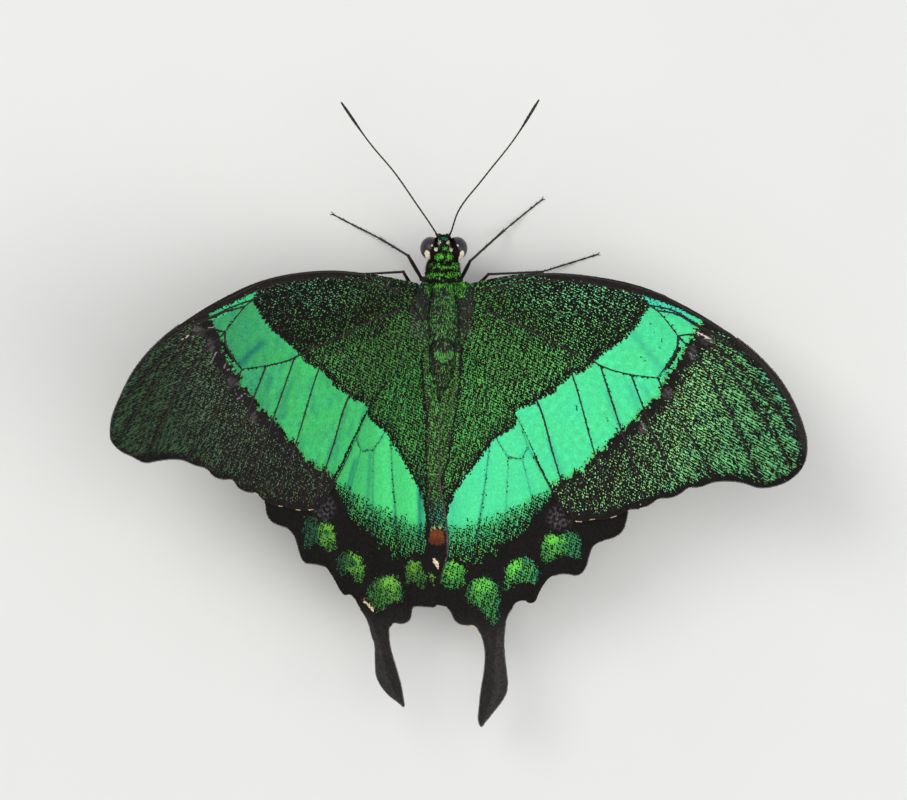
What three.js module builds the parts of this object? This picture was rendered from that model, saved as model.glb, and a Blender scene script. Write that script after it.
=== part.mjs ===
// An emerald swallowtail butterfly at life size, standing on its six feet with the wings spread.
// Millimetres. +Y is forward (the head), +X the insect's right, +Z up, and the feet stand on z = 0.
import * as THREE from 'three';

// ---- Driving dimensions ----------------------------------------------------------------------
const RIGHT = 1;
const LEFT = -1;
const SIDES = [['right', RIGHT], ['left', LEFT]];

const MEMBRANE = 0.5; // thickness of a wing
const WING_GAP = 0.06; // air between the forewing and the hindwing under it
const HINGE_X = 2.5; // from the middle line out to the line the wings swing about
const HINGE_Z = 9.3; // height of that line
const ARCH = 1.3; // how far a wing bows up at mid-span
const ARCH_SPAN = 46;
const TAIL_SAG = 0.0012; // how fast the sheet sinks behind SAG_FROM, per square millimetre
const SAG_FROM = -5;
const SETTLE_ROUNDS = 30; // of evening out the mesh of a wing
const PARTING = 0.04; // half of the cut between two neighbouring pieces

// How each pair of wings is held: its rise above the horizontal, and how far it is swung forward
// and slid from the place where the outlines below are drawn. The left tail is bent inward, and
// is a little narrower and shorter.
const POSE = {
  [RIGHT]: {
    rise: 10,
    fore: { swing: 0, size: 1, slide: [-0.3, 0] },
    hind: { swing: 0, size: 1, slide: [-0.3, 0] },
    tail: { inward: 0, width: 1, length: 1, swing: 0 },
  },
  [LEFT]: {
    rise: 22,
    fore: { swing: 2.7, size: 0.965, slide: [0.7, -0.2] },
    hind: { swing: 3.2, size: 1, slide: [0.8, 0.6] },
    tail: { inward: 0.75, width: 0.88, length: 0.9, swing: -13 },
  },
};
const SWING_CENTRE = { fore: [0, 14], hind: [0, 5] };

// Wing outlines, in the wing's own plane: u outward from the hinge line, v forward.
const COSTA = [[5.7, 17.4], [12.3, 17.9], [20, 16.9], [26.4, 15], [34.6, 10.5], [42.1, 2.4], [45.1, -5]];
const FORE_MARGIN = [[45.1, -5], [43.4, -8.6], [40.2, -9.7], [36.3, -9], [32.5, -9.2], [28.6, -10.7],
  [25.3, -11.9], [21.6, -13.2], [17.9, -14.2], [13.8, -14.1]];
const FORE_HIND_EDGE = [[4.4, 3.3], [7.3, -1.1], [10.4, -7.8], [13.8, -14.1]];
const HIND_COSTA = [[8, 3.5], [14, -2], [18.5, -7], [21.7, -13]];
const HIND_APEX = [[21.7, -13], [21.8, -14.4]];
// Vein ends on the hindwing's margin, from the apex inward. The margin is hollowed between them.
const TOOTH_RS = [20.5, -16.3];
const TOOTH_M1 = [15.2, -21.4];
const TOOTH_M2 = [9.5, -25];
const TOOTH_CU1 = [0, -27.7];
const NOTCH = [-1.9, -25.4];
// The tail: centre of each station from its root back, and half its width there.
const TAIL = [[4.45, -29.1, 1.45], [4.6, -31.2, 1.2], [4.65, -33.6, 1.38], [4.6, -35.8, 1.64],
  [4.1, -38, 1.4], [3.5, -39.4, 0.95], [2.9, -41, 0.25]];
const TAIL_CELLS = 3; // across the tail
// Where the two hindwings meet over the abdomen, in x and y.
const SEAM = [[-0.55, 0], [-0.55, -6.5], [-0.3, -10.2], [0.4, -14.5], [0.55, -18.7], [-0.25, -21.5],
  [-0.85, -25.2]];
const FLAP_FRONT = { [RIGHT]: [[1.9, 6], [0.4, 2.8]], [LEFT]: [[-2.2, 5.8], [-1.2, 3]] };
// Where the wings leave the thorax, as distance from the middle line and y.
const FORE_ROOT = [[4.1, 16.4], [3.1, 15.2], [2.85, 12], [2.85, 8.3]];
const HIND_ROOT = [2.85, 7.7];

// The body from head to tail. Each station is y, half width, half height and height of its middle.
const HEAD = [[22.4, 0.35, 0.6, 8.1], [22, 0.8, 1.25, 8.05], [21.1, 1.35, 1.7, 8.05],
  [20, 1.4, 1.6, 8.15], [19.25, 1.05, 1.05, 8.3]];
const PROTHORAX = [[19.2, 1.5, 1.35, 8.3], [18.8, 2.1, 1.8, 8.2], [18, 2.35, 2.2, 8.05],
  [16.7, 2.45, 2.5, 7.85]];
const THORAX = [[16.65, 2.45, 2.6, 7.8], [15.2, 3, 3.05, 7.55], [13, 3.35, 3.3, 7.45],
  [10.5, 3.3, 3.3, 7.4], [8.5, 3, 3, 7.45], [7, 2.55, 2.55, 7.65], [6.2, 2.1, 2.15, 7.8]];
const ABDOMEN = [[6.15, 2.05, 2.1, 7.8], [3, 2.35, 2.25, 7.75], [-1.2, 2.15, 2.1, 7.75],
  [-4, 1.75, 1.75, 7.8], [-6.8, 1.15, 1.2, 7.95], [-8.2, 0.4, 0.45, 8.05]];
const ABDOMEN_DRIFT = 0.7; // the abdomen bends to the left by this much at its tip
const HUMP_CLEARANCE = 0.25; // between the abdomen's back and the hindwings laid over it
const HUMP_WIDTH = 1.5;

const HEAD_X = 0.12; // the head is turned a little to the right
const EYE = { x: 1.75, y: 21.05, z: 8, radii: [1.35, 1.5, 1.65] };
const EYE_FLAT = 1; // the eyes and the head meet on a plane this far from the middle

// Legs, for the right side, as joints from the coxa to the claws; left legs differ where told.
const LEGS = {
  fore: {
    [RIGHT]: [[1.5, 17, 5.2], [2.6, 17, 4.8], [3.65, 19.4, 7], [8.5, 23.4, 1.1], [13.75, 27.6, 0.22]],
    [LEFT]: [[-1.5, 17, 5.2], [-2.5, 17.1, 4.8], [-4.45, 20.1, 7], [-7.6, 22.4, 1.1], [-13.75, 25.6, 0.22]],
  },
  mid: {
    [RIGHT]: [[1.3, 13.4, 3.7], [2.2, 13.5, 3.2], [6.05, 17.7, 7.1], [13.65, 18.1, 1.1], [21.05, 20.4, 0.22]],
    [LEFT]: [[-1.3, 13.4, 3.7], [-2.2, 13.5, 3.2], [-5.1, 18, 7.1], [-12.95, 17.6, 1.1], [-20.35, 17, 0.22]],
  },
  hind: {
    [RIGHT]: [[1.2, 9.4, 3.75], [2.1, 9, 3.3], [6.95, 3.5, 7.1], [11.45, -3.5, 1.1], [14.95, -10, 0.22]],
    [LEFT]: [[-1.2, 9.4, 3.75], [-2.1, 9, 3.3], [-7.95, 3.9, 7.1], [-12.55, -3.3, 1.1], [-16.35, -9.7, 0.22]],
  },
};
const SOLE_SHARE = 0.7; // the last part of the foot, from here on, lies flat on the floor
const LEG_RADII = { coxa: 0.5, femur: 0.46, knee: 0.38, ankle: 0.3, foot: 0.26 };

const ANTENNAE = {
  [RIGHT]: [[0.72, 22, 9.42], [1.7, 25.6, 10.4], [4.9, 30, 11.5], [9, 35.3, 12.5], [12.1, 40.3, 13.2]],
  [LEFT]: [[-0.48, 22, 9.42], [-3.85, 27, 10.7], [-6.6, 30.8, 11.6], [-9.8, 34.5, 12.4], [-13.7, 39.9, 13.2]],
};
const ANTENNA_RADIUS = 0.26;
const CLUB_RADIUS = 0.42;

// ---- Finishes --------------------------------------------------------------------------------
function finish(color, roughness, metalness = 0) {
  return new THREE.MeshStandardMaterial({ color, roughness, metalness });
}
const scaledCoat = finish(0x1d231c, 0.75);
const greenWing = finish(0x2c6b4c, 0.55, 0.1);
const eyeShell = finish(0x2b2430, 0.25);
const bareShell = finish(0x1a1512, 0.5);

// ---- Shaping helpers -------------------------------------------------------------------------
const radians = THREE.MathUtils.degToRad;
const smooth = THREE.MathUtils.smoothstep;
const clamp = THREE.MathUtils.clamp;

// Reads a list of stations [key, a, b, ...], with falling keys, at one key.
function station(list, key) {
  let i = 1;
  while (i < list.length - 1 && list[i][0] > key) i++;
  const [before, after] = [list[i - 1], list[i]];
  const share = clamp((before[0] - key) / (before[0] - after[0]), 0, 1);
  return before.map((value, k) => value + (after[k] - value) * share);
}

const bodyX = (y) => -ABDOMEN_DRIFT * (1 - smooth(y, -8, 6));

// A curve through points in the plane, read at even steps.
function through(points, steps) {
  const flat = points.map(([x, y]) => new THREE.Vector3(x, y, 0));
  const curve = new THREE.CatmullRomCurve3(flat, false, 'centripetal');
  return curve.getSpacedPoints(steps).map((p) => [p.x, p.y]);
}

// From one vein end to the next, hollowed towards the inside of the wing, which lies to the right.
function hollow(from, to, depth, steps) {
  const along = [to[0] - from[0], to[1] - from[1]];
  const length = Math.hypot(...along);
  const inward = [along[1] / length, -along[0] / length];
  return Array.from({ length: steps + 1 }, (_, i) => {
    const share = i / steps;
    const sink = depth * Math.sin(Math.PI * share);
    return [0, 1].map((k) => from[k] + along[k] * share + inward[k] * sink);
  });
}

// Joins runs of points that share their end points.
const chain = (...runs) => runs.flatMap((run, i) => (i ? run.slice(1) : run));

// ---- Wing sheets -----------------------------------------------------------------------------
// Carries a point of a wing's own plane to x and y.
function plan(side, pair, [u, v]) {
  const { swing, size, slide } = POSE[side][pair];
  const [cu, cv] = SWING_CENTRE[pair];
  const [cos, sin] = [Math.cos(radians(swing)), Math.sin(radians(swing))];
  const out = cu + size * ((u - cu) * cos - (v - cv) * sin) + slide[0];
  const forward = cv + size * ((u - cu) * sin + (v - cv) * cos) + slide[1];
  const level = out > 0 ? out * Math.cos(radians(POSE[side].rise)) : out;
  return [side * (HINGE_X + level), forward];
}

// Height of the under face of the hindwing sheet.
function sheetHeight(side, [x, y]) {
  const past = Math.abs(x) - HINGE_X;
  const reach = (past + Math.hypot(past, 1.2)) / 2;
  const rise = reach * Math.tan(radians(POSE[side].rise));
  const arch = ARCH * Math.sin(Math.PI * clamp(reach / ARCH_SPAN, 0, 1));
  const [, , halfHeight, middle] = station(ABDOMEN, y);
  const behind = y < -8.2 ? 1 - smooth(-y, 8.2, 13) : 1;
  const hump = (middle + halfHeight + HUMP_CLEARANCE - HINGE_Z) * behind;
  const ridge = hump * Math.exp(-((x - bodyX(y)) ** 2) / (2 * HUMP_WIDTH ** 2));
  const sag = y < SAG_FROM ? TAIL_SAG * (y - SAG_FROM) ** 2 : 0;
  return HINGE_Z + rise + arch + ridge - sag;
}

// Fills the space between four edges: near and far run outward, first and last run backward.
function patch(near, far, first, last) {
  const [m, n] = [near.length - 1, first.length - 1];
  const mix = (a, b, share) => a + (b - a) * share;
  const grid = Array.from({ length: n + 1 }, (_, j) => Array.from({ length: m + 1 }, (__, i) => {
    const [s, t] = [i / m, j / n];
    return [0, 1].map((k) => mix(near[i][k], far[i][k], t) + mix(first[j][k], last[j][k], s)
      - mix(mix(near[0][k], near[m][k], s), mix(far[0][k], far[m][k], s), t));
  }));
  // The inner points settle between their neighbours, so that no cell folds over beside a hollow.
  for (let round = 0; round < SETTLE_ROUNDS; round++) {
    for (let j = 1; j < n; j++) {
      for (let i = 1; i < m; i++) {
        const around = [grid[j - 1][i], grid[j + 1][i], grid[j][i - 1], grid[j][i + 1]];
        grid[j][i] = [0, 1].map((k) => around.reduce((sum, p) => sum + p[k], 0) / around.length);
      }
    }
  }
  return grid;
}

// The two triangles of every cell of a grid of points.
function cells(grid) {
  const triangles = [];
  for (let j = 0; j < grid.length - 1; j++) {
    for (let i = 0; i < grid[j].length - 1; i++) {
      const [a, b, c, d] = [grid[j][i], grid[j][i + 1], grid[j + 1][i + 1], grid[j + 1][i]];
      triangles.push([a, b, c], [a, c, d]);
    }
  }
  return triangles;
}

// A closed sheet: a plane mesh lifted to its height, its copy above it, and walls round the rim.
function sheet(triangles, height, thickness) {
  const key = ([x, y]) => `${x.toFixed(5)},${y.toFixed(5)}`;
  const at = new Map();
  const points = [];
  const index = (p) => {
    if (!at.has(key(p))) {
      at.set(key(p), points.length);
      points.push(p);
    }
    return at.get(key(p));
  };
  const faces = triangles.map((t) => {
    const [a, b, c] = t.map(index);
    const [p, q, r] = t;
    const turn = (q[0] - p[0]) * (r[1] - p[1]) - (q[1] - p[1]) * (r[0] - p[0]);
    return turn > 0 ? [a, b, c] : [a, c, b];
  });
  const directed = new Set(faces.flatMap(([a, b, c]) => [`${a}>${b}`, `${b}>${c}`, `${c}>${a}`]));
  const count = points.length;
  const triangleList = [];
  for (const [a, b, c] of faces) {
    triangleList.push(a + count, b + count, c + count, a, c, b);
    for (const [from, to] of [[a, b], [b, c], [c, a]]) {
      if (directed.has(`${to}>${from}`)) continue;
      triangleList.push(from, to, to + count, from, to + count, from + count);
    }
  }
  const low = points.flatMap((p) => [p[0], p[1], height(p)]);
  const high = points.flatMap((p) => [p[0], p[1], height(p) + thickness]);
  return solid([...low, ...high], triangleList);
}

function solid(positions, triangleList) {
  const geometry = new THREE.BufferGeometry();
  geometry.setAttribute('position', new THREE.Float32BufferAttribute(positions, 3));
  geometry.setIndex(triangleList);
  geometry.computeVertexNormals();
  return geometry;
}

function forewing(side) {
  const [across, along] = [16, 13];
  const root = FORE_ROOT.map(([x, y]) => [side * x, y]);
  const carry = (points) => points.map((p) => plan(side, 'fore', p));
  const grid = patch(
    through([root[0], ...carry(COSTA)], across),
    through([root.at(-1), ...carry(FORE_HIND_EDGE)], across),
    through(root, along),
    through(carry(FORE_MARGIN), along),
  );
  const rise = MEMBRANE / Math.cos(radians(POSE[side].rise));
  return sheet(cells(grid), (p) => sheetHeight(side, p) + rise + WING_GAP, rise);
}

function hindwing(side) {
  const carry = (points) => points.map((p) => plan(side, 'hind', p));
  const shift = side * PARTING;
  const seam = SEAM.map(([x, y]) => [x + shift, y]);
  const root = [side * HIND_ROOT[0], HIND_ROOT[1]];
  const flap = through([root, ...FLAP_FRONT[side], seam[0]], 4);
  const inner = chain(flap, through(seam, 10));
  const notch = carry([NOTCH])[0];
  const { inward, width, length, swing } = POSE[side].tail;
  const [, rootV] = TAIL[0];
  const tailStations = TAIL.map(([u, v, halfWidth]) => Array.from({ length: TAIL_CELLS + 1 }, (_, i) => [
    u - inward + ((2 * i) / TAIL_CELLS - 1) * halfWidth * width,
    rootV + (v - rootV) * length,
  ]));
  const beforeTail = chain(
    [inner.at(-1), [0, 1].map((k) => (inner.at(-1)[k] + notch[k]) / 2), notch],
    carry(hollow(NOTCH, TOOTH_CU1, 0.3, 3)),
    carry(hollow(TOOTH_CU1, tailStations[0][0], -0.55, 3)),
  );
  const pastTail = chain(
    carry(hollow(tailStations[0].at(-1), TOOTH_M2, -1.35, 4)),
    carry(hollow(TOOTH_M2, TOOTH_M1, -1.2, 4)),
    carry(hollow(TOOTH_M1, TOOTH_RS, -1.1, 4)),
    carry([TOOTH_RS, HIND_APEX[1]]),
  );
  const rear = chain(beforeTail, carry(tailStations[0]), pastTail);
  const across = rear.length - 1;
  const front = through([root, ...carry(HIND_COSTA)], across);
  const grid = patch(front, rear, inner, carry(through(HIND_APEX, inner.length - 1)));
  const tailColumns = grid.at(-1).slice(beforeTail.length - 1, beforeTail.length + TAIL_CELLS);
  const pivot = [0, 1].map((k) => (tailColumns[0][k] + tailColumns.at(-1)[k]) / 2);
  const tail = tailStations.slice(1).map((stations, row) => {
    const turn = radians(side * swing) * Math.min(1, (row + 1) / 3);
    const [cos, sin] = [Math.cos(turn), Math.sin(turn)];
    return carry(stations).map(([x, y]) => {
      const [dx, dy] = [x - pivot[0], y - pivot[1]];
      return [pivot[0] + dx * cos - dy * sin, pivot[1] + dx * sin + dy * cos];
    });
  });
  const thickness = MEMBRANE / Math.cos(radians(POSE[side].rise));
  return sheet([...cells(grid), ...cells([tailColumns, ...tail])], (p) => sheetHeight(side, p), thickness);
}

// ---- Body ------------------------------------------------------------------------------------
const BODY_FACETS = 20;

// Skins a row of rings with the same number of points, and closes both ends.
function loft(rings) {
  const facets = rings[0].length;
  const positions = rings.flat().flatMap((p) => p.toArray());
  const faces = [];
  for (let j = 0; j < rings.length - 1; j++) {
    for (let i = 0; i < facets; i++) {
      const [a, b] = [j * facets + i, j * facets + ((i + 1) % facets)];
      faces.push(a, b, b + facets, a, b + facets, a + facets);
    }
  }
  const middle = (ring) => ring.reduce((sum, p) => sum.add(p), new THREE.Vector3()).divideScalar(facets);
  const [start, end] = [rings.length * facets, rings.length * facets + 1];
  positions.push(...middle(rings[0]).toArray(), ...middle(rings.at(-1)).toArray());
  const lastRing = (rings.length - 1) * facets;
  for (let i = 0; i < facets; i++) {
    const next = (i + 1) % facets;
    faces.push(start, next, i, end, lastRing + i, lastRing + next);
  }
  return solid(positions, faces);
}

// A length of the trunk: rings across the body axis, front to back, narrower than a limit if told.
function trunk(stations, steps, widest = Infinity, middleX = bodyX) {
  const [front, back] = [stations[0][0], stations.at(-1)[0]];
  const rings = Array.from({ length: steps + 1 }, (_, j) => {
    const y = front + ((back - front) * (1 - Math.cos((Math.PI * j) / steps))) / 2;
    const [, halfWidth, halfHeight, middle] = station(stations, y);
    return Array.from({ length: BODY_FACETS }, (__, i) => {
      const angle = (2 * Math.PI * i) / BODY_FACETS;
      const x = clamp(halfWidth * Math.cos(angle), -widest, widest);
      return new THREE.Vector3(middleX(y) + x, y, middle + halfHeight * Math.sin(angle));
    });
  });
  return loft(rings);
}

function eye(side) {
  const ball = new THREE.SphereGeometry(1, 16, 10);
  const place = ball.getAttribute('position');
  const [a, b, c] = EYE.radii;
  const [cut, centre] = [EYE_FLAT + PARTING, EYE.x];
  const seen = new Map();
  const positions = [];
  const index = [];
  // The seam and the poles of the sphere are merged, and what is nearer the middle lies on the cut.
  for (let i = 0; i < place.count; i++) {
    const out = Math.max(cut, centre + a * place.getX(i));
    const p = [HEAD_X + side * out, EYE.y + b * place.getZ(i), EYE.z + c * place.getY(i)];
    const key = p.map((value) => value.toFixed(4)).join();
    if (!seen.has(key)) {
      seen.set(key, positions.length / 3);
      positions.push(...p);
    }
    index.push(seen.get(key));
  }
  const faces = [];
  const list = ball.getIndex();
  for (let i = 0; i < list.count; i += 3) {
    const [p, q, r] = [0, 1, 2].map((k) => index[list.getX(i + k)]);
    if (p === q || q === r || r === p) continue;
    faces.push(...(side === RIGHT ? [p, r, q] : [p, q, r]));
  }
  return solid(positions, faces);
}

// ---- Limbs -----------------------------------------------------------------------------------
const LIMB_FACETS = 8;

// A round limb along a path, as thick at each point as its radius says, and never below the floor.
function limb(path, radii) {
  const level = new THREE.Vector3(0, 0, 1);
  const rings = path.map((p, i) => {
    const ahead = path[Math.min(i + 1, path.length - 1)];
    const behind = path[Math.max(i - 1, 0)];
    const along = ahead.clone().sub(behind).normalize();
    const across = new THREE.Vector3().crossVectors(along, level).normalize();
    const up = new THREE.Vector3().crossVectors(across, along);
    return Array.from({ length: LIMB_FACETS }, (_, k) => {
      const angle = (2 * Math.PI * (k + 0.5)) / LIMB_FACETS;
      const point = p.clone().addScaledVector(across, -radii[i] * Math.cos(angle));
      point.addScaledVector(up, radii[i] * Math.sin(angle));
      point.z = Math.max(point.z, 0);
      return point;
    });
  });
  return loft(rings);
}

function leg(pair, side) {
  const joints = LEGS[pair][side].map((p) => new THREE.Vector3(...p));
  const { coxa, femur, knee, ankle, foot } = LEG_RADII;
  const thickness = [coxa, femur, knee, ankle, foot];
  const path = [];
  const radii = [];
  joints.slice(0, -1).forEach((from, i) => {
    const to = joints[i + 1];
    const lying = i === joints.length - 2;
    // Each segment is bent only near its ends.
    for (const share of [[0], [0.06, 0.5, 0.94], [0.06, 0.5, 0.94], [0.06, SOLE_SHARE, 1]][i]) {
      const point = from.clone().lerp(to, share);
      if (lying) point.z = to.z + (from.z - to.z) * Math.max(0, 1 - share / SOLE_SHARE);
      path.push(point);
      radii.push(thickness[i] + (thickness[i + 1] - thickness[i]) * share);
    }
  });
  return limb(path, radii);
}

function antenna(side) {
  const curve = new THREE.CatmullRomCurve3(ANTENNAE[side].map((p) => new THREE.Vector3(...p)));
  const steps = 14;
  const path = curve.getSpacedPoints(steps);
  const swelling = CLUB_RADIUS - ANTENNA_RADIUS;
  const radii = path.map((_, i) => ANTENNA_RADIUS + swelling * smooth(i / steps, 0.78, 0.93));
  radii[steps] = ANTENNA_RADIUS;
  return limb(path, radii);
}

// A labial palp, curving up in front of the face.
function palp(side) {
  const middle = HEAD_X + side * 0.6;
  const curl = [[21.6, 6.35], [22.25, 6.45], [22.7, 7.1], [22.8, 8]];
  const path = curl.map(([y, z]) => new THREE.Vector3(middle, y, z));
  return limb(path, [0.3, 0.4, 0.4, 0.26]);
}

// The sucking tongue, rolled up flat under the face.
function proboscis() {
  const [outer, inner, width] = [0.85, 0.2, 0.5];
  const profile = [[inner, 0], [outer, 0], [outer, width], [inner, width], [inner, 0]];
  const coil = new THREE.LatheGeometry(profile.map(([r, h]) => new THREE.Vector2(r, h)), 18);
  coil.rotateZ(-Math.PI / 2);
  coil.translate(HEAD_X - width / 2, 21.05, 5.45);
  return coil;
}

// The scale that roofs the forewing's root.
const TEGULA_X = 3;

function tegula(side) {
  const stations = [[17.2, 0.35], [16.3, 0.85], [14.5, 1], [12.7, 0.8], [11.3, 0.3]];
  const base = MEMBRANE / Math.cos(radians(POSE[side].rise));
  const rings = stations.map(([y, halfWidth]) => {
    return Array.from({ length: 12 }, (_, i) => {
      const angle = (2 * Math.PI * i) / 12;
      const x = side * TEGULA_X + halfWidth * Math.cos(angle);
      const floor = sheetHeight(side, [x, y]) + 2 * base + 2 * WING_GAP;
      const crown = Math.sin(angle) > 0 ? 0.75 * Math.sin(angle) * Math.min(1, halfWidth + 0.2) : 0;
      return new THREE.Vector3(x, y, floor + 0.02 + crown);
    });
  });
  return loft(rings);
}

// ---- The whole insect ------------------------------------------------------------------------
const specimen = new THREE.Group();

function add(name, geometry, material) {
  const mesh = new THREE.Mesh(geometry, material);
  mesh.name = name;
  specimen.add(mesh);
}

add('head', trunk(HEAD, 8, EYE_FLAT - PARTING, () => HEAD_X), scaledCoat);
add('prothorax', trunk(PROTHORAX, 5), scaledCoat);
add('thorax', trunk(THORAX, 10), scaledCoat);
add('abdomen', trunk(ABDOMEN, 12), scaledCoat);
add('proboscis', proboscis(), bareShell);
for (const [name, side] of SIDES) {
  add(`eye_${name}`, eye(side), eyeShell);
  add(`palp_${name}`, palp(side), scaledCoat);
  add(`antenna_${name}`, antenna(side), bareShell);
  add(`tegula_${name}`, tegula(side), scaledCoat);
  add(`forewing_${name}`, forewing(side), greenWing);
  add(`hindwing_${name}`, hindwing(side), greenWing);
  for (const pair of Object.keys(LEGS)) add(`leg_${pair}_${name}`, leg(pair, side), bareShell);
}

// The origin is under the middle of the insect's outline, on the floor.
const bounds = new THREE.Box3().setFromObject(specimen);
const middle = bounds.getCenter(new THREE.Vector3());
specimen.position.set(-middle.x, -middle.y, -bounds.min.z);

export default specimen;
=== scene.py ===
import math

import bpy
import numpy as np
from mathutils import Matrix, Vector
from mathutils.geometry import delaunay_2d_cdt


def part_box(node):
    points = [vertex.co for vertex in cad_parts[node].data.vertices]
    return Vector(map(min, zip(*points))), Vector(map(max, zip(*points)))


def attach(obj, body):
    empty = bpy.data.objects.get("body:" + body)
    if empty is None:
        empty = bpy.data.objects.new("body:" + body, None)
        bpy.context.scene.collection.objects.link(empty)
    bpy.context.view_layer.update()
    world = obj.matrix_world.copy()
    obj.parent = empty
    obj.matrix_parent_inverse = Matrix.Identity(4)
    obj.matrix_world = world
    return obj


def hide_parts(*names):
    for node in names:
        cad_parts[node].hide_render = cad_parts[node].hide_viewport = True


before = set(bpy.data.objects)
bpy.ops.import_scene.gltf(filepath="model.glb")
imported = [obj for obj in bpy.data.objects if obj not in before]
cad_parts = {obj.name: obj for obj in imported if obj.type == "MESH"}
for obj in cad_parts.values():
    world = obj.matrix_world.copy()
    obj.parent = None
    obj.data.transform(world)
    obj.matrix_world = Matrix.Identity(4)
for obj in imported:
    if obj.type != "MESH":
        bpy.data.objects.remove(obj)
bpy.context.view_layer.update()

# ---- The lay of the insect ---------------------------------------------------------------------
# An emerald swallowtail at life size, set on its six feet with the wings spread. It is laid out in
# millimetres from a point on the floor under the middle line of the body, with the head forward.
MM = 0.001
THORAX_FRONT = 16.65
thorax_low, thorax_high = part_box("thorax")
MIDDLE = np.array([(thorax_low.x + thorax_high.x) / 2 / MM, thorax_high.y / MM - THORAX_FRONT, 0.0])

SIDES = {"right": 1, "left": -1}
RISE = {"right": 10, "left": 22}  # of the wings above the horizontal, in degrees
# Each pair is swung forward, drawn to size and slid from the place where its outline is drawn.
SWUNG = {
    ("right", "fore"): dict(centre=(0, 14), turn=0, size=1, slide=(-0.3, 0)),
    ("left", "fore"): dict(centre=(0, 14), turn=2.7, size=0.965, slide=(0.7, -0.2)),
    ("right", "hind"): dict(centre=(0, 5), turn=0, size=1, slide=(-0.3, 0)),
    ("left", "hind"): dict(centre=(0, 5), turn=3.2, size=1, slide=(0.8, 0.6)),
}
HINGE_X, HINGE_Z = 2.5, 9.3
ARCH, ARCH_SPAN = 1.3, 46
ROOT_BEND = 1.2  # how gently the wings bend up beside the body
SAG, SAG_FROM = 0.0012, -5  # behind this y the hindwings sink again
SHEET = 0.5  # room that each wing takes up, measured square to it
WING_GAP = 0.06
ABDOMEN_TOP = [[-8.2, 8.5], [-6.8, 9.15], [-4, 9.55], [-1.2, 9.85], [3, 10], [6.15, 9.9]]
ABDOMEN_TIP = ABDOMEN_TOP[0][0]
ABDOMEN_DRIFT = 0.7  # to the left, at the abdomen's tip
RIDGE_SPREAD, RIDGE_STAND = 4.5, 0.25  # how wide the wings lie over the abdomen, and how far above it


def in_frame(points):
    return (np.asarray(points, float) + MIDDLE) * MM


def ramp(value, start, end):
    share = np.clip((np.asarray(value, float) - start) / (end - start), 0, 1)
    return share * share * (3 - 2 * share)


def body_x(y):
    return -ABDOMEN_DRIFT * (1 - ramp(y, -8, 6))


def carry(side, pair, plane):
    """Takes points of a wing's own plane, outward and forward, to x and y."""
    pose = SWUNG[side, pair]
    turn = math.radians(pose["turn"])
    cos, sin = math.cos(turn), math.sin(turn)
    u, v = (np.asarray(plane, float) - pose["centre"]).T
    out = pose["centre"][0] + pose["size"] * (u * cos - v * sin) + pose["slide"][0]
    forward = pose["centre"][1] + pose["size"] * (u * sin + v * cos) + pose["slide"][1]
    level = np.where(out > 0, out * math.cos(math.radians(RISE[side])), out)
    return np.stack([SIDES[side] * (HINGE_X + level), forward], 1)


def plane_of(side, pair, points):
    """The way back from x and y to the wing's own plane."""
    pose = SWUNG[side, pair]
    turn = math.radians(pose["turn"])
    cos, sin = math.cos(turn), math.sin(turn)
    level = SIDES[side] * points[:, 0] - HINGE_X
    out = np.where(level > 0, level / math.cos(math.radians(RISE[side])), level)
    a = (out - pose["slide"][0] - pose["centre"][0]) / pose["size"]
    b = (points[:, 1] - pose["slide"][1] - pose["centre"][1]) / pose["size"]
    return np.stack([pose["centre"][0] + a * cos + b * sin, pose["centre"][1] - a * sin + b * cos], 1)


def sheet_height(side, points):
    """Height of the under side of the hindwing's room. The wings bow up and lie over the abdomen."""
    x, y = points[:, 0], points[:, 1]
    past = np.abs(x) - HINGE_X
    reach = (past + np.hypot(past, ROOT_BEND)) / 2
    rise = reach * math.tan(math.radians(RISE[side]))
    arch = ARCH * np.sin(np.pi * np.clip(reach / ARCH_SPAN, 0, 1))
    top = np.interp(y, *np.array(ABDOMEN_TOP).T)
    hump = (top + RIDGE_STAND - HINGE_Z) * (1 - ramp(-y, -ABDOMEN_TIP, 13))
    ridge = hump * np.exp(-((x - body_x(y)) ** 2) / RIDGE_SPREAD)
    sag = SAG * np.minimum(y - SAG_FROM, 0) ** 2
    return HINGE_Z + rise + arch + ridge - sag


# ---- Wing outlines -----------------------------------------------------------------------------
# The edges that all layers of a wing are cut to. The forewings are three-cornered; the hindwings are
# scalloped between the vein ends and drawn out into a tail.
COSTA = [(5.7, 17.4), (12.3, 17.75), (18.1, 17.2), (24, 15.8), (29.4, 13.3), (33.9, 10.6), (38.3, 7.3),
         (41.8, 3.4), (43.9, -0.6)]
FORE_MARGIN = {
    "right": [(44.9, -4.4), (44.5, -7), (43.2, -8.6), (40.7, -9.8), (38.8, -10), (36.5, -9.35),
              (34.7, -9.15), (32.6, -9.3), (30.9, -9.9), (29.4, -10), (28.3, -10.8), (27, -11.3),
              (25.6, -11.4), (24.2, -12.3), (23.2, -12.7), (21.6, -12.85), (20.2, -13.6), (18.6, -14.05),
              (17, -14.1), (15.4, -14.4), (13.8, -14.1)],
    "left": [(45.1, -4.5), (44.9, -6.4), (43.5, -7.7), (41.7, -8.4), (39.9, -9.1), (38.2, -8.8),
             (36.4, -8.5), (34.4, -8.5), (32.6, -9.1), (30.8, -9.5), (29.6, -10.5), (28.4, -10.8),
             (26.9, -10.8), (26, -11.8), (24.8, -12.3), (23.4, -12.45), (22.2, -13.3), (20.6, -13.9),
             (19, -14.05), (17, -14.4), (13.8, -14.1)]}
FORE_HIND_EDGE = [(13.8, -14.1), (10.4, -7.8), (7.3, -1.1), (4.4, 3.3)]
FORE_ROOT = [(2.1, 8.6), (2.1, 12), (2.4, 15.2), (3.6, 16.5)]  # out from the middle line, and y
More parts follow.
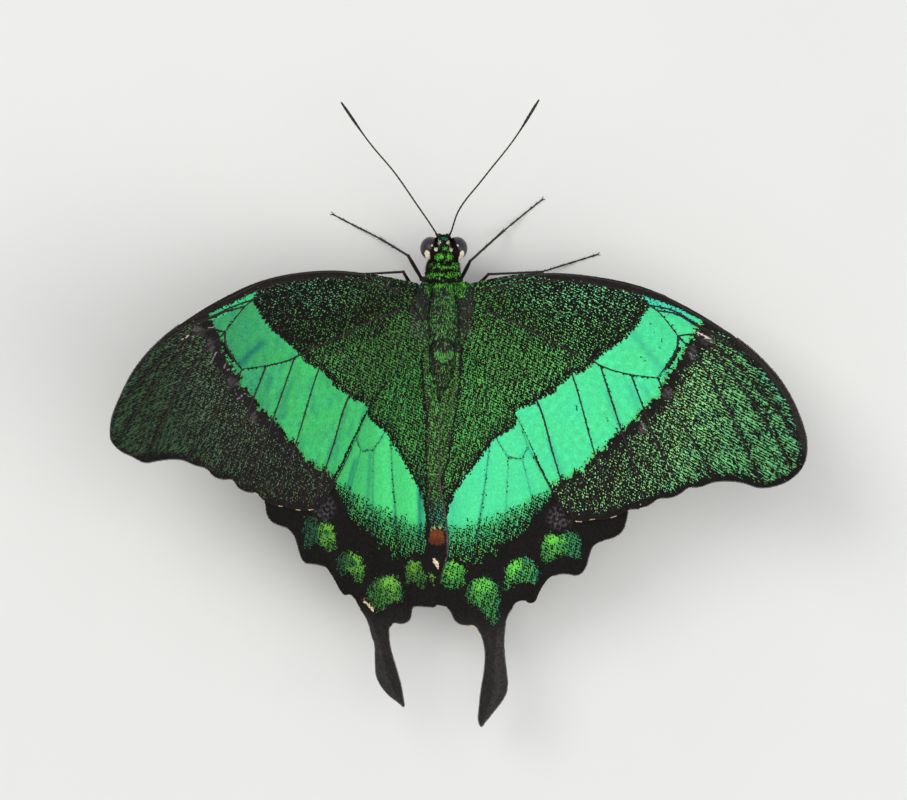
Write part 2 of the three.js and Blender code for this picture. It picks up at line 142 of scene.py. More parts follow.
HIND_ROOT = (2.1, 9.2)
HIND_COSTA = [(8, 3.5), (14, -2), (18.5, -7)]
HIND_MARGIN = {
    "right": [(21.6, -12.9), (21.3, -14.6), (20.9, -15.6), (20, -16.35), (18.3, -16.9), (17.1, -17.6),
              (16.6, -18.8), (16.1, -20.4), (15.5, -21.2), (14.8, -21.4), (13.9, -21.2), (12.7, -21.25),
              (11.6, -21.7), (10.8, -22.6), (10.1, -23.9), (9.6, -24.9), (9, -25.1), (8.3, -24.75),
              (7.4, -24.9), (6.6, -25.8), (6, -26.8), (5.7, -28.5), (5.6, -30.2), (5.7, -31.9),
              (5.95, -34.1), (6.1, -35.6), (5.9, -36.9), (5.2, -38.1), (4.2, -39.4), (3.1, -40.8),
              (2.8, -41.2), (2.6, -40.8), (2.6, -38.4), (2.8, -36.4), (3.2, -33.8), (3.3, -31.6),
              (3, -29.9), (2.6, -28.9), (1.7, -28), (0.6, -27.9), (-0.2, -27.7), (-0.7, -27.2),
              (-1.2, -26.2), (-1.7, -25.6)],
    "left": [(21.6, -12.6), (21.2, -14), (20.9, -15.2), (20.3, -16), (19.4, -16.4), (17.9, -16.8),
             (16.9, -17.7), (16.3, -19), (15.8, -20.3), (15.2, -21.1), (14.2, -21.2), (13.1, -21.3),
             (12, -21.7), (11.2, -22.6), (10.5, -23.6), (9.9, -24.5), (9.1, -25.1), (8.5, -24.95),
             (7.7, -25.5), (7.1, -26.4), (6.2, -27.4), (5.5, -28.5), (5, -29.9), (4.4, -31.3),
             (4.2, -33.3), (3.8, -35.6), (2.8, -37), (1.6, -38), (0.4, -38.7), (-0.3, -39.2),
             (-0.15, -38.4), (0.2, -36.9), (0.8, -35.2), (1.6, -33.2), (2.2, -31.6), (2.5, -30.1),
             (2.5, -28.95), (1.8, -28.4), (0.3, -28.3), (-0.4, -27.8), (-0.6, -26.9), (-0.8, -26.15),
             (-1.4, -26), (-2.7, -26), (-3.8, -26)]}
SEAM = [(-0.85, -25.2), (-0.25, -21.5), (0.55, -18.7), (0.4, -14.5), (-0.3, -10.2), (-0.55, -6.5),
        (-0.55, 0)]
FLAP_FRONT = {"right": [(0.4, 2.8), (1.55, 5.6), (1.7, 7.6)],
              "left": [(-1.2, 3), (-1.9, 5.8), (-1.95, 7.6)]}
TUCK = 0.5  # how far the right hindwing reaches in under the left one


def smooth_line(points, step):
    """A curve through points, read at even steps."""
    points = np.asarray(points, float)
    knots = np.concatenate([[0], np.cumsum(np.linalg.norm(np.diff(points, axis=0), axis=1))])
    slopes = np.gradient(points, knots, axis=0)
    count = max(2, int(round(knots[-1] / step)) + 1)
    at = np.linspace(0, knots[-1], count)
    i = np.clip(np.searchsorted(knots, at, "right") - 1, 0, len(points) - 2)
    span = (knots[i + 1] - knots[i])[:, None]
    t = ((at - knots[i])[:, None]) / span
    start, end = points[i], points[i + 1]
    return (start * (2 * t**3 - 3 * t**2 + 1) + slopes[i] * span * (t**3 - 2 * t**2 + t)
            + end * (3 * t**2 - 2 * t**3) + slopes[i + 1] * span * (t**3 - t**2))


def beside(points, line):
    """Distance of each point from a line of points, positive on the line's left."""
    line = np.asarray(line, float)
    nearest = np.full(len(points), 1e9)
    signed = np.zeros(len(points))
    for a, b in zip(line[:-1], line[1:]):
        along = b - a
        share = np.clip((points - a) @ along / (along @ along), 0, 1)
        away = points - a - share[:, None] * along
        gap = np.hypot(away[:, 0], away[:, 1])
        side = np.where(along[0] * away[:, 1] - along[1] * away[:, 0] < 0, -1, 1)
        signed = np.where(gap < nearest, side * gap, signed)
        nearest = np.minimum(nearest, gap)
    return signed


def fore_outline(side):
    root = np.array(FORE_ROOT) * [SIDES[side], 1]
    rim = smooth_line(np.concatenate([root[-1:], carry(side, "fore", COSTA + FORE_MARGIN[side])]), 0.35)
    back = smooth_line(np.concatenate([carry(side, "fore", FORE_HIND_EDGE), root[:1]]), 0.4)
    return np.concatenate([rim[:-1], back[:-1], smooth_line(root, 0.4)[:-1]])


def hind_outline(side):
    root = np.array([[SIDES[side] * HIND_ROOT[0], HIND_ROOT[1]]])
    rim = smooth_line(np.concatenate([root, carry(side, "hind", HIND_COSTA + HIND_MARGIN[side])]), 0.3)
    seam = smooth_line(SEAM, 0.4)
    seam[:, 0] -= TUCK if side == "right" else 0
    flap = smooth_line(np.concatenate([seam[-1:], np.array(FLAP_FRONT[side]), root]), 0.4)
    close = np.linspace(rim[-1], seam[0], 4)
    return np.concatenate([rim[:-1], close[:-1], seam[:-1], flap[:-1]])


OUTLINES = {(side, pair): (fore_outline if pair == "fore" else hind_outline)(side)
            for side in SIDES for pair in ("fore", "hind")}


def inside(points, outline):
    """Which points lie within a closed outline."""
    odd = np.zeros(len(points), bool)
    for (ax, ay), (bx, by) in zip(outline, np.roll(outline, -1, 0)):
        if ay == by:
            continue
        crosses = (ay > points[:, 1]) != (by > points[:, 1])
        odd ^= crosses & (points[:, 0] < (bx - ax) * (points[:, 1] - ay) / (by - ay) + ax)
    return odd


def margin_gap(points, outline):
    return np.abs(beside(points, np.concatenate([outline, outline[:1]])))


def honeycomb(outline, pitch_x, pitch_y):
    """Points in staggered rows over an outline's box, and an evenly spread lot for each of them."""
    low, high = outline.min(0), outline.max(0)
    rows = np.arange(low[1], high[1], pitch_y)
    columns = np.arange(low[0], high[0], pitch_x)
    x, y = np.meshgrid(columns, rows)
    x[1::2] += pitch_x / 2
    column, row = np.meshgrid(np.arange(len(columns)), np.arange(len(rows)))
    lot = (0.7548777 * column + 0.5698403 * row) % 1
    return np.stack([x.ravel(), y.ravel()], 1), lot.ravel()


# ---- Wing veins --------------------------------------------------------------------------------
# Stiff dark tubes between the two skins of each wing, thick at the root and fine at the margin.
# They run out from a closed cell; in the hindwing one of them carries the tail.
FORE_VEINS = {
    "costa": [(4.4, 16.9), (12.3, 17.6), (20, 16.6), (26.4, 14.7), (34.5, 10.1), (41.8, 2.3),
              (44.7, -4.6)],
    "subcosta": [(3.1, 15.6), (9, 16.7), (16, 16.5), (22, 15.3), (27.6, 13.6)],
    "radius": [(2.9, 14.6), (8, 16), (15.5, 15.9), (20.9, 14.9), (25.2, 13), (28.1, 9.6)],
    "radius_2": [(24.4, 13.6), (27.3, 12.95), (30.4, 11.2), (35.6, 8.4)],
    "radius_3": [(25.4, 12.9), (28, 12.4), (30, 11.2), (34, 8.9), (38.7, 5.6)],
    "radius_4": [(28.1, 9.6), (29.9, 9.8), (32, 8.7), (37.5, 4), (42, -1.2), (44.9, -5.2)],
    "radius_5": [(30.4, 9.6), (34, 6), (39.2, -1), (43.4, -8.3)],
    "media_1": [(28.1, 9.6), (29.6, 8), (34, 1.2), (38.9, -9.5)],
    "cell_end": [(28.1, 9.6), (28, 8.2), (27.3, 6.7), (25.4, 4.2)],
    "media_2": [(25.4, 4.2), (27.4, 0.5), (33, -9)],
    "cubitus": [(2.9, 13.2), (6, 12), (11.1, 9.3), (16.8, 6.5), (18, 5.8), (22, 4.6), (25.4, 4.2)],
    "media_3": [(22, 4.6), (23.4, 0.8), (25.6, -5), (28.7, -10.5)],
    "cubitus_1": [(18, 5.8), (20.6, -2.2), (24, -12.2)],
    "cubitus_2": [(12.9, 8.4), (14.3, 4.8), (17.1, -5), (19.8, -13.5)],
    "anal": [(2.9, 10), (6, 6.5), (9.8, 1.2), (11.9, -5.7), (14.4, -13.9)],
}
HIND_VEINS = {
    "shoulder": [(3.6, 6.6), (8.5, 3.4), (14.3, -1.9), (18.3, -7), (21.3, -13)],
    "radius": [(3.2, 6.6), (6.5, 2.5), (11, -3), (16.4, -10), (20.2, -16)],
    "cell_front": [(6.5, 2.5), (8.6, -4.8)],
    "media_1": [(8.6, -4.8), (12.4, -11), (15.8, -17), (15.1, -21.1)],
    "cell_end": [(6.1, -6), (7.9, -6.2), (8.6, -4.8)],
    "media_2": [(7.9, -6.2), (8.9, -10.1), (10.2, -18), (9.5, -24.7)],
    "cubitus": [(3, 6.2), (3.4, 1), (4.6, -3.6), (6.1, -6)],
    "media_3": [(6.1, -6), (5.9, -11.6), (5.5, -22), (4.75, -29)],
    "cubitus_1": [(3.9, -2.6), (3.2, -9), (2.4, -14.6), (1.3, -22), (0.1, -27.4)],
    "cubitus_2": [(2.2, 2), (-0.2, -6), (-1.2, -11.5), (-1.9, -17), (-2, -24)],
}
VEINS = {"fore": FORE_VEINS, "hind": HIND_VEINS}
TAIL_VEIN = {"right": [(4.75, -29), (4.4, -32.5), (4.4, -36), (3.7, -38.5), (2.9, -40.5)],
             "left": [(4.75, -29), (3.4, -31.8), (2.5, -35), (1.3, -37), (0.2, -38.4)]}
STOUT = {"costa": 0.2, "anal": 0.14, "radius": 0.14, "cubitus": 0.13, "cell_end": 0.14, "shoulder": 0.14}
SLENDER, FINE_END = 0.11, 0.05
# The left forewing's veins and marks sit a little further out, and its cell ends lower.
PATTERN_SIZE = {"right": 1, "left": 0.968}
CELL_DROP = {"right": 0, "left": 0.9}
PROUD = {"fore": 0.06, "hind": -0.02}  # how far the veins stand above the middle of the skin
DEEP = 0.15  # how much lower the forewing's veins lie on its inner part, where scales cover them
INNER_PART = [(6, -0.6), (24.6, 15)]  # that part lies ahead of this line
HIND_VEIN = 0.5  # the hindwing's veins are this much finer, and its scales lie over them


def cell_drop(side, pattern):
    """How much further back than on the right wing a forewing's mark lies, from its place there."""
    u, v = pattern.T
    return CELL_DROP[side] * np.exp(-(((u - 28) / 4) ** 2)) * ramp(v, 0, 9)


def pattern_of(side, pair, plane):
    """Takes points of a wing's plane to the drawing of veins and marks that both sides share."""
    if pair == "hind":
        return plane
    spread = plane * [PATTERN_SIZE[side], 1]
    pattern = spread
    for _ in range(3):
        pattern = np.column_stack([spread[:, 0], spread[:, 1] + cell_drop(side, pattern)])
    return pattern


def off_pattern(side, pair, pattern):
    """The way back from the shared drawing to the wing's plane."""
    pattern = np.asarray(pattern, float)
    if pair == "hind":
        return pattern
    return np.column_stack([pattern[:, 0] / PATTERN_SIZE[side], pattern[:, 1] - cell_drop(side, pattern)])


def vein_gap(pair, plane, names=None):
    """Distance of each point from the nearest vein of its wing."""
    gap = np.full(len(plane), 1e9)
    for name in names or VEINS[pair]:
        gap = np.minimum(gap, np.abs(beside(plane, smooth_line(VEINS[pair][name], 1.5))))
    return gap


PLEAT = {"right": 0.07, "left": 0.16}  # how far a wing sinks between its veins
FLAP_LIFT = {"right": -0.15, "left": 0.18}  # the left hindwing lies over the right one
SETTLED = 0.4  # how far the hindwings settle down on the abdomen
BENT = {"right": 0.5, "left": 0.8}  # and how far their inner edges bend down beside it
PLEAT_WIDTH = 1.1  # half of it, at each vein
FORE_STAND, HIND_STAND = 0.22, -0.17  # the middle of a skin, from the edge of its room


def wing_height(side, pair, points):
    """Height of the middle of a wing's skin, with its shallow pleats."""
    room = SHEET / math.cos(math.radians(RISE[side]))
    gap = vein_gap(pair, pattern_of(side, pair, plane_of(side, pair, points)))
    sunk = PLEAT[side] * (1 - np.exp(-((gap / PLEAT_WIDTH) ** 2)))
    height = sheet_height(side, points) + room - sunk
    if pair == "fore":
        return height + WING_GAP + FORE_STAND
    x, y = points.T
    flap = np.exp(-(((x - 0.1) / 1.4) ** 2)) * ramp(-y, -5, 2)
    away = np.abs(x - body_x(y))
    settled = ramp(away, 2.6, 1.2) * ramp(y, -9, -5)
    bent = ramp(away, 0.9, 1.9) * ramp(away, 3.8, 2.2) * ramp(y, 0, 2.5) * ramp(y, 8.4, 7)
    return height + HIND_STAND + FLAP_LIFT[side] * flap - SETTLED * settled - BENT[side] * bent


def on_wing(side, pair, flat, stand=0):
    """The places on a wing over points of x and y, standing off from the middle of its skin."""
    return np.column_stack([flat, wing_height(side, pair, flat) + stand])


def linear(colour):
    """A colour of 0 to 255 as the light that it stands for."""
    share = np.asarray(colour, float) / 255
    return np.where(share <= 0.04045, share / 12.92, ((share + 0.055) / 1.055) ** 2.4)


def new_piece(name, points, faces, material, rounded=True):
    """A mesh in the insect's millimetres, with faces of one number of corners."""
    faces = np.asarray(faces, np.int32)
    mesh = bpy.data.meshes.new(name)
    mesh.vertices.add(len(points))
    mesh.vertices.foreach_set("co", in_frame(points).astype(np.float32).ravel())
    mesh.loops.add(faces.size)
    mesh.loops.foreach_set("vertex_index", faces.ravel())
    mesh.polygons.add(len(faces))
    mesh.polygons.foreach_set("loop_start", np.arange(0, faces.size, faces.shape[1], dtype=np.int32))
    mesh.update(calc_edges=True)
    mesh.validate()
    mesh.polygons.foreach_set("use_smooth", np.full(len(mesh.polygons), rounded))
    mesh.materials.append(material)
    piece = bpy.data.objects.new(name, mesh)
    bpy.context.scene.collection.objects.link(piece)
    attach(piece, "root")
    return piece


def unit(vectors):
    return vectors / np.maximum(np.linalg.norm(vectors, axis=-1, keepdims=True), 1e-9)


def wrap(rings, sides, first=0):
    """Faces round a row of rings of points, closed by one point more at each end."""
    ring = np.arange(sides)
    following = (ring + 1) % sides
    faces = []
    for low in first + sides * np.arange(rings - 1):
        faces += [np.stack([low + ring, low + following, low + sides + following], 1),
                  np.stack([low + ring, low + sides + following, low + sides + ring], 1)]
    start, last = first + rings * sides, first + (rings - 1) * sides
    faces += [np.stack([np.full(sides, start), first + following, first + ring], 1),
              np.stack([np.full(sides, start + 1), last + ring, last + following], 1)]
    return np.concatenate(faces)


def tubes(lines, radii, sides=6):
    """Closed round tubes along lines of points. The radius follows each line."""
    points, faces, first = [], [], 0
    angle = 2 * np.pi * np.arange(sides)[:, None] / sides
    for line, radius in zip(lines, radii):
        line = np.asarray(line, float)
        radius = np.interp(np.linspace(0, 1, len(line)), np.linspace(0, 1, len(radius)), radius)
        along = unit(np.gradient(line, axis=0))
        across = unit(np.cross(along, [0, 0, 1]))
        up = np.cross(across, along)
        for k in range(len(line)):
            points.append(line[k] + radius[k] * (np.cos(angle) * across[k] + np.sin(angle) * up[k]))
        points.append(line[[0, -1]] - along[[0, -1]] * radius[[0, -1], None] * [[0.6], [-0.6]])
        faces.append(wrap(len(line), sides, first))
        first += len(line) * sides + 2
    return np.concatenate(points), np.concatenate(faces)


def node_in(tree, kind, mode=None, **inputs):
    """A new shader node. Inputs have a value, or the output that feeds them; i0 is the first of them."""
    node = tree.nodes.new(kind)
    if mode:
        setattr(node, "data_type" if kind == "ShaderNodeMix" else "operation", mode)
    for name, value in inputs.items():
        numbered = name[0] == "i" and name[1:].isdigit()
        socket = node.inputs[int(name[1:]) if numbered else name.replace("_", " ")]
        if isinstance(value, bpy.types.NodeSocket):
            tree.links.new(value, socket)
        else:
            socket.default_value = value
    return node


def new_material(name, **settings):
    """A material with its Principled shader, whose plain settings are given."""
    material = bpy.data.materials.new(name)
    material.use_nodes = True
    shader = material.node_tree.nodes["Principled BSDF"]
    for socket, value in settings.items():
        shader.inputs[socket.replace("_", " ")].default_value = value
    return material, material.node_tree, shader


def colour4(colour):
    return (*linear(colour), 1.0)


def object_place(tree):
    return tree.nodes.new("ShaderNodeTexCoord").outputs["Object"]


def mixed(tree, share, first, second):
    """The output of a node that mixes two colours."""
    return node_in(tree, "ShaderNodeMix", "RGBA", i0=share, i6=first, i7=second).outputs[2]


RELIEF = 0.02 * MM  # depth of the fine relief in all shells


def mottled_material(name, dark, light, size, relief=None, **settings):
    """A finish that wanders between two colours, over spots of a size in millimetres."""
    material, tree, shader = new_material(name, **settings)
    spots = node_in(tree, "ShaderNodeTexNoise", Vector=object_place(tree), Scale=1 / (size * MM),
                    Detail=4.0).outputs["Fac"]
    tree.links.new(mixed(tree, spots, colour4(dark), colour4(light)), shader.inputs["Base Color"])
    if relief:
        bump = node_in(tree, "ShaderNodeBump", Height=spots, Strength=relief, Distance=RELIEF)
        tree.links.new(bump.outputs["Normal"], shader.inputs["Normal"])
    return material


vein_material = mottled_material("vein_shell", (22, 19, 18), (48, 40, 36), 0.4, relief=0.5, Roughness=0.5,
                                 Specular_IOR_Level=0.3)

for side in SIDES:
    for pair in VEINS:
        lines, radii = [], []
        for name, points in VEINS[pair].items():
            if (pair, name) == ("hind", "media_3"):
                points = points[:-1] + TAIL_VEIN[side]
            flat = carry(side, pair, off_pattern(side, pair, smooth_line(points, 0.3)))
            edge = OUTLINES[side, pair]
            flat = flat[inside(flat, edge) & (margin_gap(flat, edge) > 0.1)]
            stand = np.full(len(flat), PROUD[pair])
            if pair == "fore":
                stand -= DEEP * ramp(beside(plane_of(side, pair, flat), INNER_PART), -0.6, 1)
            lines.append(on_wing(side, pair, flat, stand))
            start = STOUT.get(name, SLENDER) * (HIND_VEIN if pair == "hind" else 1)
            radii.append([start, 0.95 * start, 0.85 * start, FINE_END])
        piece = new_piece(f"{pair}wing_{side}_veins", *tubes(lines, radii), vein_material)

# ---- Markings ----------------------------------------------------------------------------------
# The colour lies in the scales alone: black-brown ones, and green ones sown among them, thinly as
# dust or close as the band and the moons. Skin and scales are marked by the same rules.
BAND_FORE_INNER = [(24.6, 15), (24.2, 13.4), (23, 11.3), (21, 9.3), (19.2, 7.9), (17.9, 7.2), (16.8, 5.9),
                   (15.7, 5), (14.3, 4.7), (13.3, 3.9), (12.1, 2.5), (9.8, 1.2), (6, -0.6)]
OUTER_REST = [(23.6, 0.7), (22.6, -0.9), (20.8, -2), (19.4, -3.6), (18, -5), (17, -5.5), (15.7, -7.4),
              (12.9, -8.8), (10, -10.5)]
BAND_FORE_OUTER = {
    "right": [(30.9, 11.3), (30, 10.4), (29.75, 9.2), (28.75, 8.1), (28.1, 6.9), (27.5, 5.8),
              (25.95, 3.9), (25.35, 2), *OUTER_REST],
    "left": [(30.7, 12), (29.7, 11), (29.4, 9.9), (28.5, 9.4), (28.1, 8.4), (27.75, 7.2), (27.45, 6.2),
             (26.6, 4.5), (25.6, 3.3), (25.2, 1.9), *OUTER_REST]}
BAND_HIND_INNER = [(11, 1.8), (8.8, 0.3), (7.5, -0.7), (7, -1.9), (5.5, -3), (4.3, -3.6), (3.4, -5),
                   (2.3, -6.4), (0.8, -8.5), (-0.5, -10.2), (-1.3, -12), (-2, -14.4), (-2.2, -17)]
BAND_HIND_OUTER = [(15, -8.6), (11.3, -10.1), (9.3, -11), (7.6, -12.3), (5.5, -13.1), (3.3, -14),
                   (1, -14.8), (-1.2, -15), (-4, -15.2)]
STREAK = [(23.2, 15.1), (25.7, 14.35), (27.2, 13.7), (28.9, 12.65), (30.7, 11), (30, 11), (27.8, 12.3),
          (24.6, 13.3)]
COSTAL_STRIP = [(2, 17.6), (5.1, 17.7), (10.2, 17.4), (15.4, 16.8), (20.6, 15.8), (25.8, 14.3),
                (30.1, 12.3), (34.2, 9.8), (38.6, 5.9), (42.4, 0.9), (44, -4.4)]
# Rubbed spots beyond the forewing's band: middle and half widths.
RUBBED = [((29.8, 7.5), (0.6, 1.1)), ((31.7, 9.1), (1.1, 0.6)), ((26.6, 2.2), (0.8, 0.9)),
          ((23.4, -2.2), (0.55, 1))]
# Bare flecks: a line, its half width and its colour.
CREAM, GREY, NICK = (206, 190, 178), (128, 118, 124), (34, 60, 48)
NICKS = [[(24.55, 10.3), (24.9, 10.05)], [(24.2, 11.5), (24.4, 11.2)], [(27.1, 11.1), (27.5, 11)],
         [(25.4, 8.3), (25.6, 8.1)], [(23.1, 7.05), (23.8, 6.4)], [(18.6, -0.4), (19, -1.4)],
         [(14.8, 0.6), (15.1, -0.3)]]
FLECKS = {"right": [([(30.2, 10.15), (31.2, 9.75), (32.3, 9.15)], 0.12, CREAM),
                    ([(29.6, 7.6), (29.9, 6.6)], 0.06, GREY), ([(23.4, -1.6), (23.8, -2.8)], 0.08, GREY),
                    ([(25.79, 9.25), (26, 8.8)], 0.06, NICK), *[(line, 0.05, NICK) for line in NICKS]],
          "left": [([(29.8, 10), (30.8, 9.5)], 0.09, CREAM),
                   ([(32, 8.5), (33, 8.2), (34.1, 7.6)], 0.07, CREAM),
                   ([(29, 6.8), (29.9, 4.9)], 0.07, GREY), ([(27.75, 5.2), (27.9, 4.5)], 0.08, GREY),
                   ([(26.8, 4.6), (27.5, 4)], 0.06, GREY), ([(25.7, 1.5), (26.4, 0.3)], 0.07, GREY),
                   ([(24.8, 0.8), (26, -0.1)], 0.06, GREY)]}
BLACK = {"fore": (25.0, 22, 21), "hind": (27.0, 24, 23)}
FAN_FORE = (7.0, 16.5)
FAR_FROM, TIP_REACH = [4, 10], (24, 36)  # towards the tip: measured from here, and between these
# How far the hindwing's band frays out behind, from place to place outward, and how it thins there.
FRINGE_DEPTH = [(-2.5, 3.4), (-1, 4), (1.8, 4.9), (5.5, 3.6), (8, 3.2), (10, 2), (12, 0.9)]
FRINGE_FADE = [(-1.12, 0), (-0.95, 0.34), (-0.55, 0.46), (-0.1, 0.72), (0.12, 1)]
# Moons on the hindwings: the outline, the brightest place, which is a painted highlight, where it turns
# to blue, which is painted shade, and how brightly each is painted lit.
MOONS = {
    "right": [
        ([(10.3, -17.2), (11, -16.1), (11.6, -15.7), (12.7, -16.1), (13.9, -15.6), (15.1, -15.9),
          (15.5, -16.8), (15.5, -19.2), (12.9, -18.8), (10.8, -19.8), (10.3, -18.8)], (12, -16.8),
          13.4, 0.93),
        ([(5.6, -20.9), (6.3, -19.8), (7.3, -19.2), (8.8, -19.1), (9.8, -20), (10.1, -20.9), (9.8, -22.5),
          (7.5, -22.3), (5.8, -23.7)], (6.9, -20.1), 8.5, 0.97),
        ([(0.6, -23.5), (1, -22.5), (2, -21.8), (3.4, -21.7), (4.6, -22.4), (5.1, -23.7), (5.1, -25.3),
          (4.4, -27.8), (3.4, -27.2), (2.1, -25.3), (0.9, -25)], (3, -22.5), 4.3, 0.95),
        ([(-2.8, -20.2), (-1.9, -19.6), (-0.9, -19.4), (0.1, -19.8), (0.7, -20.8), (0.7, -22.1),
          (-0.1, -23), (-1.5, -23.1), (-2.5, -22.7)], (-0.9, -20), 2, 0.95)],
    "left": [
        ([(15.6, -15.5), (14.8, -15.1), (13.3, -15.8), (12.4, -15.6), (11.5, -16), (10.9, -17.7),
          (10.9, -19.4), (12.6, -19.2), (13.6, -18.7), (15.1, -19.4), (15.7, -17.4)], (12, -16.7),
          13.3, 0.95),
        ([(10.5, -20.2), (9.8, -19.6), (8.9, -19.3), (7.7, -19.6), (6.8, -20.4), (6.4, -21.7),
          (6.7, -23.2), (7.6, -23.2), (8.8, -22.2), (10.1, -22.5)], (7.7, -20.2), 8.7, 0.95),
        ([(6, -24), (5.2, -23), (4.2, -22.4), (2.8, -22.1), (1.5, -22.5), (0.8, -23.7), (0.8, -25.3),
          (2.7, -25.9), (3.7, -26.8), (4.8, -26.7), (5.7, -25.8)], (2.6, -22.9), 7, 0.97),
        ([(0.8, -21.1), (0, -20), (-1.1, -20.1), (-2.1, -21.1), (-2.6, -22.4), (-2.2, -23.8),
          (-1.3, -23.4), (-0.2, -22.7), (0.3, -23.6)], (-0.7, -20.6), 2, 0.8),
        ([(-2.8, -21.5), (-3.4, -21.6), (-3.6, -22.7), (-3.5, -23.4), (-3, -22.6)], (-3.2, -22), 2, 0.8)]}
UNDER_MOONS = [((17.6, -14.6), (2, 1.5)), ((12.9, -17.6), (2.75, 2.1)), ((8, -21), (2.25, 2)),
               ((2.9, -23.8), (2.4, 2.2)), ((-0.9, -21.4), (1.6, 1.8))]
UNDER = dict(ground=(46.0, 38, 33), dust=(168.0, 146, 112), band=(186, 174, 152), orange=(196, 96, 40),
             blue=(92, 128, 172), white=(196, 190, 176))
FOLD = {"right": [(0.1, 7.8), (-0.15, 2.6), (-0.55, 0.5), (-1.1, -2.8), (-1.6, -6), (-2.1, -8),
                  (-2.6, -11), (-2.6, -19)],
        "left": [(-0.2, 7.2), (-0.7, 2), (-1.4, -1.4), (-1.4, -5.3), (-1.7, -8.3), (-2.1, -13),
                 (-2.35, -18.6)]}
CELL_FOLD = {"right": [(22.2, 10), (26.4, 4.7)], "left": [(23.3, 7.6), (25.1, 6.1), (26.5, 4.7)]}
# Lines of painted blue shade in the pleats, with the strength of each.
BLUE_FOLD_SHADES = {"fore": [([(11.2, -3.5), (13.4, -9.2)], 1), ([(24.6, 1), (23.6, 3)], 1),
                       ([(18.8, 2.5), (20.6, -2.4)], 1), ([(21.8, 3), (23.2, -0.6)], 1)],
              "hind": [([(8.7, -7.5), (9.6, -11)], 0.75), ([(6.5, -6.6), (6.6, -13.8)], 0.5),
                       ([(-0.8, -9.3), (-0.9, -11.6), (-1.3, -17.4)], 1)]}
# How wide these folds are, and how far the colour sinks to blue in them: painted shade in the pleats.
FOLD_SHADE = {("right", "fore"): (0.42, 0.2), ("left", "fore"): (0.4, 0.22),
              ("right", "hind"): (0.3, 0.1), ("left", "hind"): (0.3, 0.7)}
CELL_FOLD_SHADE = {"right": 0.25, "left": 0.65}
# A painted highlight along the lit side of a pleat on the left hindwing.
PLEAT_HIGHLIGHT_LINE = [(-1.25, -11), (-1.3, -12.2), (-2, -16.8)]
CELL_END = [(28, 8), (27.3, 6.7), (26.6, 5.7)]
# How far the colour sinks to dark teal along the hindwing's veins.
HIND_LINES = {"cubitus_1": 0.55, "media_3": 0.25, "media_2": 0.35, "media_1": 0.3, "cell_end": 0.8,
              "cubitus": 0.7, "cell_front": 0.35}
# The band's green on each wing. The left wing's yellower, duller green is painted light: the colour that
# its green scales show at the raised wing's angle.
BAND_GREEN = {"right": (72, 214, 153), "left": (74, 207, 124)}
# Colours of the sown scales, and of the ground that they lie on.
SOWN = dict(
    front=(128, 224, 156), back=(100, 192, 98), root=(82, 154, 72), outer=(140, 208, 130),
    tip=(108, 192, 120), tip_front=(84, 190, 150), left_outer_shade_sheen=(108, 140, 102), left_tip_shade=(64, 90, 62),
    left_band_streak_shade=(56, 150, 124), band_edge=(70, 176, 72), streak=(64, 208, 180), shoulder=(84, 136, 88),
    # The fold colour is painted blue shade in the pleats.
    fold=(28, 118, 116), hind_edge=(66, 168, 92), hind_fringe=(96, 176, 66), hind_bright=(88, 232, 140),
    hind_root=(86, 174, 80), hind_root_dark=(76, 158, 76), flap=(80, 150, 68), flap_tip=(58, 142, 104),
    # The pleat colour is a painted highlight along the lit side of a pleat.
    pleat_highlight_tint=(60, 176, 128),
    # The moon_edge_shade colour is painted shade away from each moon's painted highlight.
    moon=(106, 212, 76), moon_edge_shade=(66, 150, 68), vein=(22, 84, 74), eyespot_rim=(148, 184, 128))
# Blue of painted shade on the moons' outer side.
MOON_SHADE_BLUE = {"right": (52, 148, 96), "left": (38, 100, 74)}
GROUND = dict(
    beyond=(42, 39, 38), vein=(60, 52, 50), worn=(92, 84, 88), strip=(38, 33, 32), strip_tip_sheen=(50, 45, 43),
    shoulder=(66, 59, 58), tail=(45, 42, 41), tail_lit_side=(57, 54, 53), flap=(40, 36, 32),
    hind_worn=(98, 92, 98), bare=(168, 164, 168), eyespot=(118, 61, 34), eyespot_foot=(86, 48, 30),
    seam=(84, 74, 76), cream=(226, 206, 172))
EYESPOT = dict(centre=(-3.55, -16.8), half=(0.98, 1.0))
HIND_WORN = dict(centre=(12.8, -13.8), half=(1.9, 1.8))
HOOK = [(-3.5, -19.9), (-3.75, -20.3), (-4, -20.9)]
NOTCH = [(6.2, -25.7), (5.6, -26.1), (5, -26.7)]


def grain(plane, size, seed=0.0):
    """A smooth pattern of patches about a size across, from -1 to 1."""
    total = np.zeros(len(plane))
    for k in range(5):
        turn = 2.4 * k + seed
        a = plane @ np.array([math.cos(turn), math.sin(turn)]) / size
        b = plane @ np.array([-math.sin(turn), math.cos(turn)]) / size
        total += np.sin(a * 2.3 + 1.7 * k + seed) * np.sin(b * 1.9 + 0.6 * k - seed)
    return total / 2.6


def blend(first, second, share):
    """Mixes two colours, or two lists of them, point by point."""
    share = np.asarray(share, float)[..., None]
    return np.asarray(first, float) * (1 - share) + np.asarray(second, float) * share


def along_line(plane, line, wide):
    """1 on a line, fading to 0 beside it."""
    return np.exp(-((beside(plane, line) / wide) ** 2))


def from_middle(points, middle, half):
    """How far out points lie in a round patch: 0 at its middle, 1 at its half widths."""
    return np.hypot(*((points - middle) / half).T)


def clouded(colour, change, plane, size):
    """A colour that goes over to a changed one in patches about a size across."""
    return blend(colour, np.array(colour) * change, 0.5 + 0.5 * grain(plane, size, 1))


